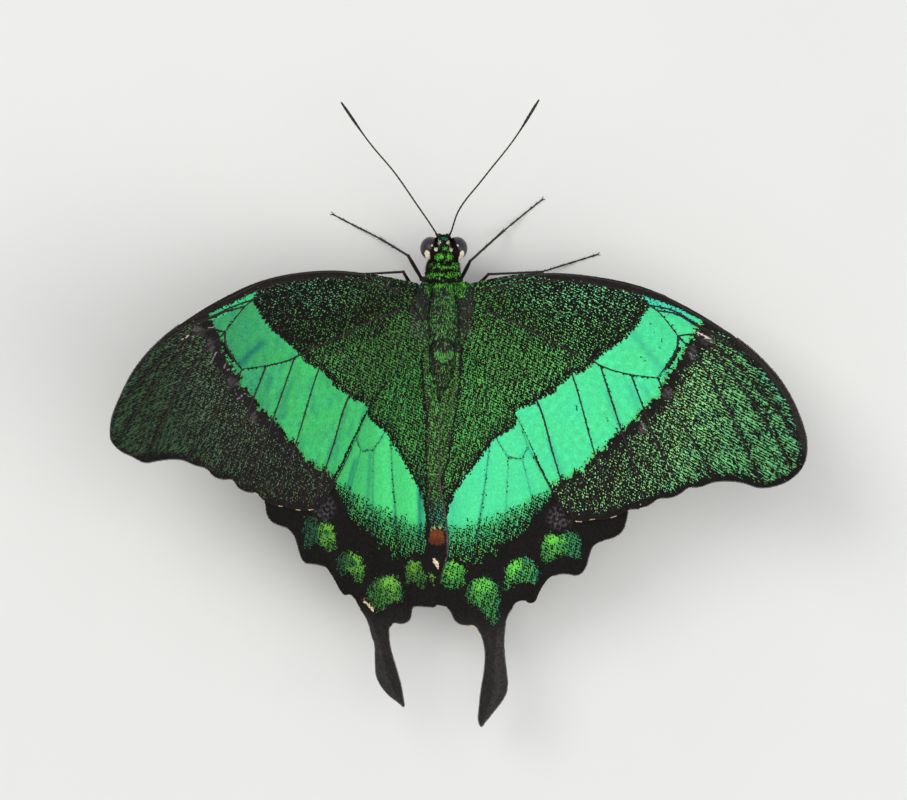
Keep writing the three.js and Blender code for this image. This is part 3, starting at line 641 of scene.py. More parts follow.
def upper_marks(side, pair, plane):
    """Ground colour, scale colour and share of coloured scales on the upper side."""
    ground, tint, share = (upper_fore if pair == "fore" else upper_hind)(side, plane)
    # Painted blue shade in the pleats along the folds.
    wide, deep = FOLD_SHADE[side, pair]
    folds = [(line, wide, deep * strength) for line, strength in BLUE_FOLD_SHADES[pair]]
    if pair == "fore":
        folds.insert(0, (CELL_FOLD[side], 0.45, CELL_FOLD_SHADE[side]))
    for line, wide, strength in folds:
        tint = blend(tint, SOWN["fold"], along_line(plane, line, wide) * strength)
    return ground, tint, share


def fore_inner_dust(side, plane, depth):
    """Share and colour of the scales sown between the body and the forewing's band."""
    root = np.hypot(plane[:, 0] - 2.8, plane[:, 1] - 10)
    low = ramp(plane[:, 1] + 0.45 * plane[:, 0], 16.5, 11)
    dust = 0.03 + (0.215 + 0.16 * low) * (0.3 + 0.7 * ramp(depth, 0.2, 1.5)) + 0.06 * ramp(root, 13, 4)
    tint = blend(SOWN["front"], SOWN["back"], ramp(plane[:, 1], 15.5, 9))
    tint = blend(tint, SOWN["root"], ramp(root, 13, 4))
    # The raised left wing's dust is painted darker and thinner: painted shade.
    if side == "left":
        tint = tint * blend([[0.95, 0.9, 0.92]], [[0.9, 0.78, 0.8]], ramp(root, 10, 24))
        dust = dust * (0.74 + 0.34 * low)
    return dust, tint


def fore_outer_dust(side, plane, beyond, vein, below_strip, tip, rays):
    """The same beyond the band, drawn out in streaks towards the tip."""
    wide = np.interp(plane[:, 0], [12, 17, 20, 26, 32], [0.9, 0.8, 1.5, 2, 2.3])
    dust = 0.2 + 0.17 * ramp(plane[:, 0], 19, 30) + 0.12 * tip + (0.05 + 0.13 * tip) * rays
    # Towards the tip the dust thins along the veins: dark veins, with painted shade in the folds along
    # them.
    dust = dust * (1 - 0.6 * tip * np.exp(-((vein / 0.4) ** 2))) * ramp(beyond, wide * 0.55, wide + 0.6)
    # The raised left wing's outer dust is painted darker and greyer: painted shade with a painted grey
    # sheen.
    if side == "left":
        return (dust + 0.05 * tip) * (0.87 + 0.28 * tip), blend(SOWN["left_outer_shade_sheen"], SOWN["left_tip_shade"], tip)
    tint = blend(SOWN["outer"], SOWN["tip"], tip)
    tint = tint * (1 + 0.08 * ramp(plane[:, 0], 26, 31) * (1 - tip))[:, None]
    return dust, blend(tint, SOWN["tip_front"], 0.6 * ramp(below_strip, 1.3, 0.3) * tip)


def fore_band_green(side, plane, before_outer):
    green = clouded(BAND_GREEN[side], (1.05, 1, 0.93), plane, 3)
    # On the raised left wing the band is painted darker outward, with streaks of painted shade along the
    # veins.
    if side == "left":
        green = green * blend([[1, 1, 1]], [[0.88, 0.84, 0.92]], ramp(plane[:, 0], 16, 27))
        green = green * (1 + grain(plane, 0.13, 7)[:, None] * [0.17, 0.04, 0.1])
        streaky = plane @ [[0.96, -0.07], [0.28, 0.24]]
        green = blend(green, SOWN["left_band_streak_shade"], 0.45 * ramp(grain(streaky, 0.55, 5), -0.3, 1.1))
    green = blend(green, SOWN["band_edge"], 0.6 * ramp(before_outer, 0.6, -0.6))
    return green * (1 + 0.04 * grain(plane, 0.6, 3))[:, None]


def upper_fore(side, plane):
    plane = pattern_of(side, "fore", plane)
    vein = vein_gap("fore", plane)
    past_inner = beside(plane, BAND_FORE_INNER)
    before_outer = -beside(plane, BAND_FORE_OUTER[side])
    wander = 0.16 * grain(plane, 0.35) + 0.16 * grain(plane, 0.9, 2)
    band = ramp(past_inner + wander, -0.18, 0.16) * ramp(before_outer + 2.2 * wander, -0.6, 0.3)
    streak = inside(plane, np.array(STREAK)) | (np.abs(beside(plane, STREAK)) < 0.1)
    below_strip = -beside(plane, COSTAL_STRIP)
    if side == "left":
        below_strip = below_strip - 0.35 * ramp(plane[:, 0], 28, 31)
    margin = np.abs(beside(plane, smooth_line(FORE_MARGIN[side], 0.8)))
    beyond = -before_outer
    turn = np.arctan2(plane[:, 1] - FAN_FORE[1], plane[:, 0] - FAN_FORE[0])
    far = np.hypot(*(plane - FAR_FROM).T)
    rays = grain(np.stack([turn * 80, far * 0.3], 1), 0.8, 4)
    tip = ramp(far, *TIP_REACH)
    inner_dust, inner_tint = fore_inner_dust(side, plane, -past_inner)
    outer_dust, outer_tint = fore_outer_dust(side, plane, beyond, vein, below_strip, tip, rays)
    dust = np.where(beyond > 0, outer_dust, inner_dust) * ramp(margin, 0.35, 1.5)
    tint = np.where((beyond > 0)[:, None], outer_tint, inner_tint)
    share = dust * (1 - band) + band
    tint = blend(tint, fore_band_green(side, plane, before_outer), band)
    share = np.where(streak, 0.9, share)
    streak_tint = blend(SOWN["streak"], BAND_GREEN[side], 0.3 if side == "right" else 0.8)
    tint = np.where(streak[:, None], streak_tint, tint)
    share = share * ramp(below_strip, -0.05, 0.3)
    # Veins stay dark, and so does the thickened end of the cell.
    inner_part = ramp(beside(plane, INNER_PART), -0.6, 1)
    share = share * (1 - ramp(vein, 0.11, 0.05) * (1 - inner_part))
    # A dark line along the forewing's hind edge: the dark edge itself, with a painted shadow where it
    # lies over the hindwing.
    share = share * ramp(np.abs(beside(plane, FORE_HIND_EDGE)), 0.14, 0.24)
    share = share * ramp(np.abs(beside(plane, CELL_END)), 0.22, 0.4)
    ground = np.tile(BLACK["fore"], (len(plane), 1))
    # The ground beyond the band is paler, and on the left wing paler still: a painted grey sheen.
    paler_and_sheen = ramp(beyond, 0, 0.5) * (0.4 if side == "right" else 0.65) * (1 - 0.6 * tip)
    ground = blend(ground, GROUND["beyond"], paler_and_sheen)
    faint = inner_part * ramp(vein_gap("fore", plane, ["subcosta", "cubitus"]), 0.24, 0.08)
    ground, share = blend(ground, GROUND["vein"], 0.7 * faint), share * (1 - 0.75 * faint)
    streaks = grain(np.stack([turn * 60, far * 0.5], 1), 0.5, 4)
    for middle, half in RUBBED:
        out = from_middle(plane, middle, half) + 0.4 * streaks + 0.2 * grain(plane, 0.3, 5)
        worn = ramp(out, 1.2, 0.3)
        ground, share = blend(ground, GROUND["worn"], 0.85 * worn), share * (1 - 0.7 * worn)
    # The dark strip along the front edge is painted lighter towards the tip: a painted sheen.
    ground = blend(ground, blend(GROUND["strip"], GROUND["strip_tip_sheen"], tip), ramp(below_strip, 0.2, -0.1))
    # Brown-grey over the root, beside the thorax.
    shoulder = ramp(plane[:, 0], 1.9, 0.9) * ramp(plane[:, 1], 9, 10.2) * ramp(plane[:, 1], 15.4, 13.8)
    shoulder = shoulder * ramp(grain(plane, 0.7, 8), -1.1, 0.5)
    ground, share = blend(ground, GROUND["shoulder"], 0.8 * shoulder), share * (1 - 0.35 * shoulder)
    tint = blend(tint, SOWN["shoulder"], shoulder)
    for line, half, paint in FLECKS[side]:
        pale = np.abs(beside(plane, line)) < half * (1 + 0.8 * grain(plane, 0.3, 3))
        ground[pale], share[pale] = paint, 0
    return ground, tint, share


def moon_scales(side, plane, wander, tint, share):
    """Close yellow-green scales round each moon's painted highlight, thinner, darker and bluer away from
    it in painted shade.
    """
    mottle = grain(plane, 0.9, 2 if side == "right" else 3)
    for outline, highlight, blue, lit in MOONS[side]:
        outline = smooth_line([*outline, outline[0]], 0.3)
        gap = np.abs(beside(plane, outline))
        within = np.where(inside(plane, outline), gap, -gap)
        away = np.hypot(*(plane - highlight).T)
        moon = ramp(within + 1.3 * wander, -0.2, 0.35) * np.interp(away, [0, 1.2, 4], [0.86, 0.68, 0.52])
        shade = blend(SOWN["moon"], SOWN["moon_edge_shade"], ramp(away + mottle, 0.1, 2.4))
        past_blue = ramp(plane[:, 0] + 1.4 * mottle, blue - 0.7, blue + 0.8)
        shade = blend(shade, MOON_SHADE_BLUE[side], 0.8 * past_blue) * lit
        # The left moons are painted redder and duller: painted light, the colour the raised wing's green
        # scales show at its angle.
        if side == "left":
            shade = shade * [1.13, 0.93, 0.94]
        take = moon > 0.03
        share = np.where(take, moon, share)
        tint = np.where(take[:, None], shade, tint)
    return tint, share


def inner_edge_marks(plane, ground, tint, share):
    """What shows of the left hindwing's edge along the body: red-brown spot, seam, hook and notch."""
    u, v = ((plane - EYESPOT["centre"]) / EYESPOT["half"]).T
    u = u / (1 - 0.18 * v)
    spot = (np.abs(u) ** 3 + np.abs(v) ** 3) < 1 + 0.1 * grain(plane, 0.3)
    rim = ~spot & (np.abs(u) < 1.0) & (v > 0.7) & (v < 1.3 + 0.2 * grain(plane, 0.25))
    share = np.where(spot | ((np.abs(u) < 1.1) & (v < -0.9) & (v > -3)), 0, share)
    spot_ground = blend(GROUND["eyespot"], GROUND["eyespot_foot"], ramp(v, 0.4, -0.9))
    ground = np.where(spot[:, None], spot_ground, ground)
    share = np.where(rim, 0.6, share)
    tint = np.where(rim[:, None], SOWN["eyespot_rim"], tint)
    seam = np.abs(beside(plane, plane_of("left", "hind", np.array(SEAM))))
    wide = np.interp(plane[:, 1], [-24, -19, -13, -9.5, -4], [0.1, 0.24, 0.24, 0.34, 0.1])
    edge_band = ramp(seam / wide, 1.1, 0.6) * ramp(plane[:, 1], -24, -21)
    ground, share = blend(ground, GROUND["seam"], edge_band), share * (1 - edge_band)
    hook = np.abs(beside(plane, HOOK)) < np.interp(plane[:, 1], [-20.9, -19.9], [0.12, 0.28])
    cream = hook | (np.abs(beside(plane, NOTCH)) < 0.15)
    ground[cream], share[cream] = GROUND["cream"], 0
    return ground, tint, share


def upper_hind(side, plane):
    past_inner = beside(plane, BAND_HIND_INNER)
    before_outer = -beside(plane, BAND_HIND_OUTER)
    wander = 0.14 * grain(plane, 0.35) + 0.12 * grain(plane, 0.9, 2)
    fringe = np.interp(plane[:, 0], *np.array(FRINGE_DEPTH).T)
    fade = np.interp(before_outer / fringe + wander, *np.array(FRINGE_FADE).T)
    band = ramp(past_inner + wander, -0.16, 0.16) * fade
    green = clouded(BAND_GREEN[side], (1.1, 1.02, 0.97), plane, 2.5)
    edge = ramp(before_outer, 0.9, -1.4)
    green = blend(green, SOWN["hind_edge"], 0.8 * edge)
    frayed = ramp(-before_outer, 1.8, 4) * ramp(grain(plane, 1.2, 2), -0.4, 0.6)
    green = blend(green, SOWN["hind_fringe"], frayed)
    if side == "left":
        bright = ramp(plane[:, 0], 6.2, 5.4) * ramp(plane[:, 0], -1.4, -0.6)
        green = blend(green, SOWN["hind_bright"], 0.85 * bright * (1 - edge))
    # Dense dust over the inner part, thinner and browner on the flap along the body.
    depth = -past_inner
    root_tint = blend(SOWN["hind_root"], SOWN["hind_root_dark"], 0.5 + 0.5 * grain(plane, 2, 3))
    dust = 0.32 + 0.17 * ramp(depth, 0.3, 2.2)
    fold = beside(plane, FOLD[side])
    flap = ramp(-fold, -0.1, 0.25)
    root_tint = blend(root_tint, SOWN["flap"], flap)
    root_tint = blend(root_tint, SOWN["flap_tip"], flap * ramp(plane[:, 1], -11, -13.5))
    share = np.where(past_inner > -0.4, np.maximum(band, dust * ramp(depth, 0.1, 0.8)), dust)
    share = np.where((past_inner > 0.3) & (before_outer < 0), band, share)
    tint = np.where((band > 0.05)[:, None], green, root_tint)
    tail_end = plane[:, 1] < -15.9
    share = np.where(tail_end & (fold < 0) | (plane[:, 1] < -20), 0, share)
    if side == "left":
        # A painted highlight along the lit side of a pleat, beside the blue fold shade.
        pleat_highlight = along_line(plane, PLEAT_HIGHLIGHT_LINE, 0.2)
        share = np.maximum(share, 0.7 * pleat_highlight * (plane[:, 1] > -17.5))
        tint = blend(tint, SOWN["pleat_highlight_tint"], pleat_highlight)
    tint, share = moon_scales(side, plane, wander, tint, share)
    for name, depth in HIND_LINES.items():
        wide = 0.1 + 0.08 * ramp(plane[:, 1], -8, -14)
        dark = depth * along_line(plane, smooth_line(HIND_VEINS[name], 1.5), wide)
        tint, share = blend(tint, SOWN["vein"], dark), share * (1 - 0.3 * dark)
    # Few coloured scales along the fold beside the body: a dark line of painted shade in the crease.
    share = share * (0.08 + 0.92 * ramp(np.abs(fold), 0.08, 0.3))
    # Plain black between band, moons and margin, with a rubbed patch where the forewing's edge lies.
    ground = np.tile(BLACK["hind"], (len(plane), 1))
    # The tail's ground is painted lighter as a painted sheen, and lighter still on one side of its vein,
    # painted light on that side of the ridge.
    tail = blend(GROUND["tail"], GROUND["tail_lit_side"], ramp(beside(plane, TAIL_VEIN[side]), -0.15, 0.15))
    ground = blend(ground, tail, ramp(plane[:, 1], -25, -30))
    ground = blend(ground, GROUND["flap"], flap * ramp(plane[:, 1], -15, -12))
    worn = ramp(from_middle(plane, HIND_WORN["centre"], HIND_WORN["half"]), 1.15, 0.6)
    ground = blend(ground, GROUND["hind_worn"], 0.75 * worn * ramp(grain(plane, 0.3, 6), -0.35, 0.4))
    ground = blend(ground, GROUND["bare"], 0.8 * worn * ramp(grain(plane, 0.2, 9), 1.0, 1.2))
    return inner_edge_marks(plane, ground, tint, share) if side == "left" else (ground, tint, share)


def under_marks(side, pair, plane):
    """The same for the under side: brown-black dusted with buff, a pale band and orange moons."""
    ground, tint = (np.tile(UNDER[name], (len(plane), 1)) for name in ("ground", "dust"))
    if pair == "fore":
        plane = pattern_of(side, pair, plane)
        past = beside(plane, BAND_FORE_OUTER["right"])
        root = np.hypot(plane[:, 0] - 3, plane[:, 1] - 10)
        margin = np.abs(beside(plane, smooth_line(FORE_MARGIN["right"], 0.8)))
        share = 0.1 + 0.22 * ramp(root, 20, 3)
        pale = ramp(past, 0.4, 2.4) * ramp(margin, 2.2, 4) * ramp(plane[:, 0], 13, 18)
        share = np.maximum(share, 0.85 * pale)
        tint = blend(tint, UNDER["band"], pale)
        share = share * ramp(vein_gap("fore", plane), 0.1, 0.35)
        return ground, tint, share
    root = np.hypot(plane[:, 0] - 3, plane[:, 1] - 6)
    share = 0.12 + 0.25 * ramp(root, 22, 3)
    for centre, half in UNDER_MOONS:
        u, v = ((plane - centre) / half).T
        orange = (np.hypot(u, v + 0.35) < 0.85) & (v + 0.25 * u * u < -0.05)
        blue = (np.hypot(u, v) < 0.95) & (v > 0.25) & (v < 0.62)
        white = (np.hypot(u, v) < 1) & (v >= 0.62)
        for patch, paint, close in ((orange, "orange", 0.97), (blue, "blue", 0.7), (white, "white", 0.8)):
            share = np.where(patch, close, share)
            tint = np.where(patch[:, None], UNDER[paint], tint)
    share = share * ramp(vein_gap("hind", plane), 0.06, 0.25)
    share = np.where(plane[:, 1] < -27, share * 0.4, share)
    return ground, tint, share


def add_marks(mesh, ground, tint, share, lot):
    """Stores the markings on a mesh, one value for each of its points."""
    for name, colours in (("ground", ground), ("tint", tint)):
        layer = mesh.attributes.new(name, "FLOAT_COLOR", "POINT")
        full = np.ones((len(colours), 4), np.float32)
        full[:, :3] = linear(colours)
        layer.data.foreach_set("color", full.ravel())
    for name, values in (("share", share), ("lot", lot)):
        layer = mesh.attributes.new(name, "FLOAT", "POINT")
        layer.data.foreach_set("value", np.asarray(values, np.float32))


def sowing_group():
    """Shader group: gives each scale the ground colour or, for its share of them, the scale colour."""
    group = bpy.data.node_groups.new("sown_scales", "ShaderNodeTree")
    for name, kind in (("Ground", "Color"), ("Tint", "Color"), ("Share", "Float"), ("Lot", "Float")):
        group.interface.new_socket(name, in_out="INPUT", socket_type=f"NodeSocket{kind}")
    for name, kind in (("Color", "Color"), ("Sown", "Float")):
        group.interface.new_socket(name, in_out="OUTPUT", socket_type=f"NodeSocket{kind}")
    given, result = group.nodes.new("NodeGroupInput").outputs, group.nodes.new("NodeGroupOutput").inputs

    def sums(mode, first, second):
        return node_in(group, "ShaderNodeMath", mode, i0=first, i1=second).outputs[0]

    def between(share, least, most):
        return node_in(group, "ShaderNodeMapRange", Value=share, To_Min=least, To_Max=most).outputs[0]

    # Each scale's own shade and hue, spread further where few are coloured than where they lie close.
    sown = sums("LESS_THAN", given["Lot"], given["Share"])
    close = sums("MULTIPLY", given["Share"], given["Share"])
    spread = {}
    for name, cycles, least, most in (("value", 57.0, 0.1, 0.36), ("hue", 131.0, 0.1, 0.34)):
        stretched = sums("MULTIPLY", given["Lot"], cycles)
        own = node_in(group, "ShaderNodeMath", "FRACT", i0=stretched).outputs[0]
        spread[name] = sums("MULTIPLY", between(own, -1.0, 1.0), between(close, most, least))
    shift = node_in(group, "ShaderNodeVectorMath", "SCALE", i0=(1.0, 0.05, -0.9), Scale=spread["hue"])
    around_one = node_in(group, "ShaderNodeVectorMath", i0=shift.outputs[0], i1=(1.0, 1.0, 1.0))
    varied = node_in(group, "ShaderNodeVectorMath", "MULTIPLY", i0=around_one.outputs[0],
                     i1=given["Tint"])
    colour = mixed(group, sown, given["Ground"], varied.outputs[0])
    value = sums("ADD", spread["value"], 1.0)
    scaled = node_in(group, "ShaderNodeVectorMath", "SCALE", i0=colour, Scale=value)
    group.links.new(scaled.outputs[0], result["Color"])
    group.links.new(sown, result["Sown"])
    return group


SOWING = sowing_group()
SPECK = 0.17  # size of the specks that stand for scales on a skin
SPECK_RELIEF = 0.03


def marked_material(name, on_skin, bare_rough=0.8, sown_rough=0.45, sown_metal=0.25):
    """The finish of scales, or of the skin under them, from the markings stored on the mesh."""
    material, tree, shader = new_material(name, Specular_IOR_Level=0.1)
    reads = {}
    for layer in ("ground", "tint", "share", "lot"):
        reads[layer] = tree.nodes.new("ShaderNodeAttribute")
        reads[layer].attribute_name = layer
    lot = reads["lot"].outputs["Fac"]
    if on_skin:
        cells = node_in(tree, "ShaderNodeTexVoronoi", Vector=object_place(tree), Scale=1 / (SPECK * MM))
        lot = node_in(tree, "ShaderNodeSeparateColor", Color=cells.outputs["Color"]).outputs["Red"]
        bump = node_in(tree, "ShaderNodeBump", Height=cells.outputs["Distance"], Strength=0.6,
                       Distance=SPECK_RELIEF * MM)
        tree.links.new(bump.outputs["Normal"], shader.inputs["Normal"])
    sow = tree.nodes.new("ShaderNodeGroup")
    sow.node_tree = SOWING
    for socket, source in (("Ground", reads["ground"].outputs["Color"]),
                           ("Tint", reads["tint"].outputs["Color"]),
                           ("Share", reads["share"].outputs["Fac"]), ("Lot", lot)):
        tree.links.new(source, sow.inputs[socket])
    tree.links.new(sow.outputs["Color"], shader.inputs["Base Color"])
    for socket, low, high in (("Roughness", bare_rough, sown_rough), ("Metallic", 0.0, sown_metal)):
        reach = node_in(tree, "ShaderNodeMapRange", Value=sow.outputs["Sown"], To_Min=low, To_Max=high)
        tree.links.new(reach.outputs[0], shader.inputs[socket])
    return material


# ---- Wing skins --------------------------------------------------------------------------------
# Each wing is two clear skins, pressed together and stained black-brown, a twentieth of a
# millimetre thick. The markings show through them, and the scales are set in them.
SKIN_CELL = 0.5
SKIN_HALF = 0.025


def slope_up(side, pair, points):
    """The direction square to a wing at each point, upward."""
    reach = 0.15
    rise = [wing_height(side, pair, points - step) - wing_height(side, pair, points + step)
            for step in (np.array([reach, 0]), np.array([0, reach]))]
    return unit(np.stack([rise[0] / (2 * reach), rise[1] / (2 * reach), np.ones(len(points))], 1))


skin_material = marked_material("wing_skin", True)
for (side, pair), outline in OUTLINES.items():
    grid, _ = honeycomb(outline, SKIN_CELL, SKIN_CELL * 0.87)
    grid = grid[inside(grid, outline)]
    grid = grid[margin_gap(grid, outline) > 0.3 * SKIN_CELL]
    flat = np.concatenate([outline, grid])
    rim = [(k, (k + 1) % len(outline)) for k in range(len(outline))]
    flat, _, faces, *_ = delaunay_2d_cdt([Vector(p) for p in flat], rim, [], 1, 1e-6)
    flat, faces = np.array(flat), np.array(faces)
    count = len(flat)
    a, b, c = (flat[faces[:, k]] for k in range(3))
    turn = (b[:, 0] - a[:, 0]) * (c[:, 1] - a[:, 1]) - (b[:, 1] - a[:, 1]) * (c[:, 0] - a[:, 0])
    faces[turn < 0] = faces[turn < 0][:, ::-1]
    directed = {(p, q) for f in faces.tolist() for p, q in ((f[0], f[1]), (f[1], f[2]), (f[2], f[0]))}
    open_edges = np.array([edge for edge in directed if edge[::-1] not in directed])
    p, q = open_edges.T
    walls = np.concatenate([np.stack([p + count, q + count, q], 1), np.stack([p + count, q, p], 1)])
    middle, thick = on_wing(side, pair, flat), slope_up(side, pair, flat) * SKIN_HALF
    points = np.concatenate([middle + thick, middle - thick])
    triangles = np.concatenate([faces, faces[:, ::-1] + count, walls])
    piece = new_piece(f"{pair}wing_{side}_skin", points, triangles, skin_material)
    plane = plane_of(side, pair, flat)
    upper, under = upper_marks(side, pair, plane), under_marks(side, pair, plane)
    marks = [np.concatenate([one, other]) for one, other in zip(upper, under)]
    add_marks(piece.data, *marks, np.zeros(2 * count))
    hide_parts(f"{pair}wing_{side}")

# ---- Wing scales -------------------------------------------------------------------------------
# Flat overlapping scales, each set in the skin by its root and lying outward, like roof tiles.
# They are larger and fewer than the real ones, and sit on both faces of every wing.
SCALE_PITCH = {"upper": 0.18, "under": 0.25}
SCALE_LENGTH = 1.45  # as a share of the pitch
SCALE_TILT = 0.2
SCALE_STRAY = 0.34  # how far a scale may lie off its row, as a share of the pitch
OVERLAP = 1.2  # scales reach this far in under the other wing
LONE = 0.58  # width of a coloured scale standing alone, as a share of its dark neighbours'
FAN = {"fore": FAN_FORE, "hind": (1.5, 9.0)}  # the points that the scales' rows spread from
PATCH = 0.003
rng = np.random.default_rng(7)
scale_material = marked_material("wing_scales", False)


def add_bake_map(mesh, place):
    """The flat layout of the piece, from 0 to 1, given at each of its points."""
    corners = np.zeros(len(mesh.loops), np.int32)
    mesh.loops.foreach_get("vertex_index", corners)
    layer = mesh.uv_layers.new(name="OFBake")
    layer.data.foreach_set("uv", np.clip(place, 0.002, 0.998)[corners].astype(np.float32).ravel())


def wing_layout(points):
    """Where a point lies on the wing's flat layout: its plan, each side of the insect on its own."""
    return (points - points.min(0)) / (np.ptp(points, axis=0).max() * 1.02) + 0.01


def scales(name, root, along, up, widths, length, place, marks, lot, material, tilt=SCALE_TILT):
    """Small solid wedges, each with a flat top from root to tip and a keel below."""
    count = len(root)
    side = np.cross(along, up)
    rise = length * tilt * rng.uniform(0.6, 1.4, count)
    tip = root + along * length[:, None] + up * rise[:, None]
    half_root, half_tip = (side * (np.broadcast_to(width, count) / 2)[:, None] for width in widths)
    keel = root + along * (0.4 * length)[:, None] - up * (0.15 * widths[1] * np.ones(count))[:, None]
    corners = np.stack([root - half_root, root + half_root, tip + half_tip, tip - half_tip, keel], 1)
    pattern = np.array([(0, 1, 2), (0, 2, 3), (1, 0, 4), (2, 1, 4), (3, 2, 4), (0, 3, 4)])
    faces = (pattern[None] + 5 * np.arange(count)[:, None, None]).reshape(-1, 3)
    piece = new_piece(name, corners.reshape(-1, 3), faces, material, rounded=False)
    add_marks(piece.data, *[np.repeat(one, 5, axis=0) for one in marks], np.repeat(lot, 5))
    patch = PATCH * np.array([(-0.5, 0), (0.5, 0), (0.5, 1), (-0.5, 1), (0, 0.5)])
    add_bake_map(piece.data, (place[:, None] + patch[None]).reshape(-1, 2))
    return piece


def laid(along, up):
    """Directions pressed down on a surface."""
    return unit(along - up * np.sum(along * up, 1)[:, None])


for (side, pair), outline in OUTLINES.items():
    for face, facing in (("upper", 1), ("under", -1)):
        pitch = SCALE_PITCH[face]
        flat, lot = honeycomb(outline, pitch, pitch * 0.95)
        flat += rng.uniform(-SCALE_STRAY, SCALE_STRAY, flat.shape) * pitch
        lot = (lot + rng.uniform(0, 0.27, len(lot))) % 1
        keep = inside(flat, outline)
        flat, lot = flat[keep], lot[keep]
        room = margin_gap(flat, outline)
        keep = room > 0.06
        # None grow where the other wing of the same side lies close against this one.
        if (face, pair) in (("upper", "hind"), ("under", "fore")):
            cover = OUTLINES[side, "fore" if pair == "hind" else "hind"]
            keep &= ~(inside(flat, cover) & (margin_gap(flat, cover) > OVERLAP))
        flat, lot, room = flat[keep], lot[keep], room[keep]
        plane = plane_of(side, pair, flat)
        # Veins stay bare, but for those that are covered on the upper side.
        pattern = pattern_of(side, pair, plane)
        keep = vein_gap(pair, pattern) > 0.03
        if face == "upper":
            keep |= (beside(pattern, INNER_PART) > 0) | (pair == "hind")
        flat, lot, room, plane = flat[keep], lot[keep], room[keep], plane[keep]
        fan = carry(side, pair, [FAN[pair]])[0]
        out = flat - fan
        out += rng.normal(0, 0.09, out.shape) * np.linalg.norm(out, axis=1)[:, None]
        out = np.column_stack([out, np.zeros(len(out))])
        up = slope_up(side, pair, flat) * facing
        along = laid(out, up)
        root = on_wing(side, pair, flat) + up * SKIN_HALF
        marks = (upper_marks if face == "upper" else under_marks)(side, pair, plane)
        # Towards the forewing's tip the scales are longer and narrower.
        drawn_out = ramp(np.hypot(*(plane - FAR_FROM).T), *TIP_REACH) * (pair == "fore")
        lone = np.where(lot < marks[2], LONE + (1 - LONE) * marks[2] ** 2, 1.0)
        length = pitch * SCALE_LENGTH * rng.uniform(0.85, 1.15, len(flat))
        length = np.minimum(length * (0.3 + 0.7 * lone) * (1 + 0.9 * drawn_out), room + 0.03)
        width = pitch * 1.05 * lone * (1 - 0.3 * drawn_out)
        piece = scales(f"{pair}wing_{side}_{face}_scales", root, along, up, [0.7 * width, width], length,
                       wing_layout(flat), marks, lot, scale_material)

# ---- Wing fringe -------------------------------------------------------------------------------
# A close row of short narrow scales along the free margins, black-brown, with cream ones in some
# of the hollows between the vein ends.
FRINGE_PITCH, FRINGE_LENGTH, FRINGE_WIDTH = 0.075, 0.24, 0.07
FRINGE_BLACK, FRINGE_CREAM = (44.0, 36, 33), (206, 190, 148)
HOLLOW = {"fore": 0.4, "hind": 0.85}  # how far round each of these places the fringe is cream
CREAM_HOLLOWS = {"fore": [(15.2, -14.35), (17, -14.25), (19.7, -13.75), (23.4, -12.5)],
                 "hind": [(17.9, -18.5), (12.2, -22.3), (7.6, -26.3), (2, -27.7)]}


def plain_marks(colours):
    """Marks for scales of one kind, none of them sown."""
    return colours, colours, np.zeros(len(colours))


for (side, pair), outline in OUTLINES.items():
    ring = np.concatenate([outline, outline[:1]])
    length_so_far = np.concatenate([[0], np.cumsum(np.linalg.norm(np.diff(ring, axis=0), axis=1))])
    at = np.arange(0, length_so_far[-1], FRINGE_PITCH)
    flat = np.stack([np.interp(at, length_so_far, ring[:, k]) for k in (0, 1)], 1)
    ahead_of = np.roll(flat, -2, 0) - np.roll(flat, 2, 0)
    out = unit(np.stack([ahead_of[:, 1], -ahead_of[:, 0]], 1))
    out[inside(flat + 0.05 * out, outline)] *= -1
    plane = plane_of(side, pair, flat)
    if pair == "fore":
        behind_front = plane[:, 1] < 17.9 - 0.24 * plane[:, 0]
        free = behind_front & (np.abs(flat[:, 0]) > 4.5) & (plane[:, 0] > 9.5)
    else:
        free = (plane[:, 0] > 12) | (plane[:, 1] < -25.6)
    flat, out, plane = flat[free], out[free], plane[free]
    along = np.column_stack([out, rng.normal(0, 0.08, len(out))])
    along[:, :2] += rng.normal(0, 0.08, out.shape)
    up = slope_up(side, pair, flat)
    along = laid(along, up)
    root = on_wing(side, pair, flat) - along * 0.08
    ground = np.tile(FRINGE_BLACK, (len(flat), 1))
    for spot in CREAM_HOLLOWS[pair]:
        ground[np.hypot(*(plane - spot).T) < HOLLOW[pair]] = FRINGE_CREAM
    length = FRINGE_LENGTH * rng.uniform(0.75, 1.1, len(flat))
    widths = [0.8 * FRINGE_WIDTH, FRINGE_WIDTH]
    piece = scales(f"{pair}wing_{side}_fringe", root, along, up, widths, length, wing_layout(flat),
                   plain_marks(ground), rng.random(len(flat)), scale_material)

# ---- Body skin ---------------------------------------------------------------------------------
# Head, neck, thorax and abdomen are one hard dark shell without a seam. The plates over the wing
# roots, the mouth feelers and the leg sockets grow out of it. It lies under the coat of scales.
COAT_DEPTH = 0.25
HEAD_X = 0.12
HEAD = [(22.75, 0.7, 0.6, 8.3), (22.5, 1.1, 1.1, 8.15), (22, 1.25, 1.4, 8.05), (21.1, 1.45, 1.75, 8.05),
        (20.2, 1.8, 1.7, 8.15), (19.4, 2.05, 1.5, 8.25)]
TRUNK = [(20, 1.9, 1.4, 8.25), (19.3, 2.2, 1.7, 8.2), (18.6, 2.4, 2, 8.15), (18, 2.45, 2.2, 8.05),
         (17.3, 2.45, 2.4, 7.95), (16.9, 2.3, 2.35, 7.85), (16.4, 2.5, 2.6, 7.8), (15.2, 3, 3.05, 7.55),
         (13, 3.35, 3.3, 7.45), (10.5, 3.3, 3.3, 7.4), (8.5, 3, 3, 7.45), (7, 2.55, 2.55, 7.65),
         (6.2, 2.1, 2.15, 7.8)]
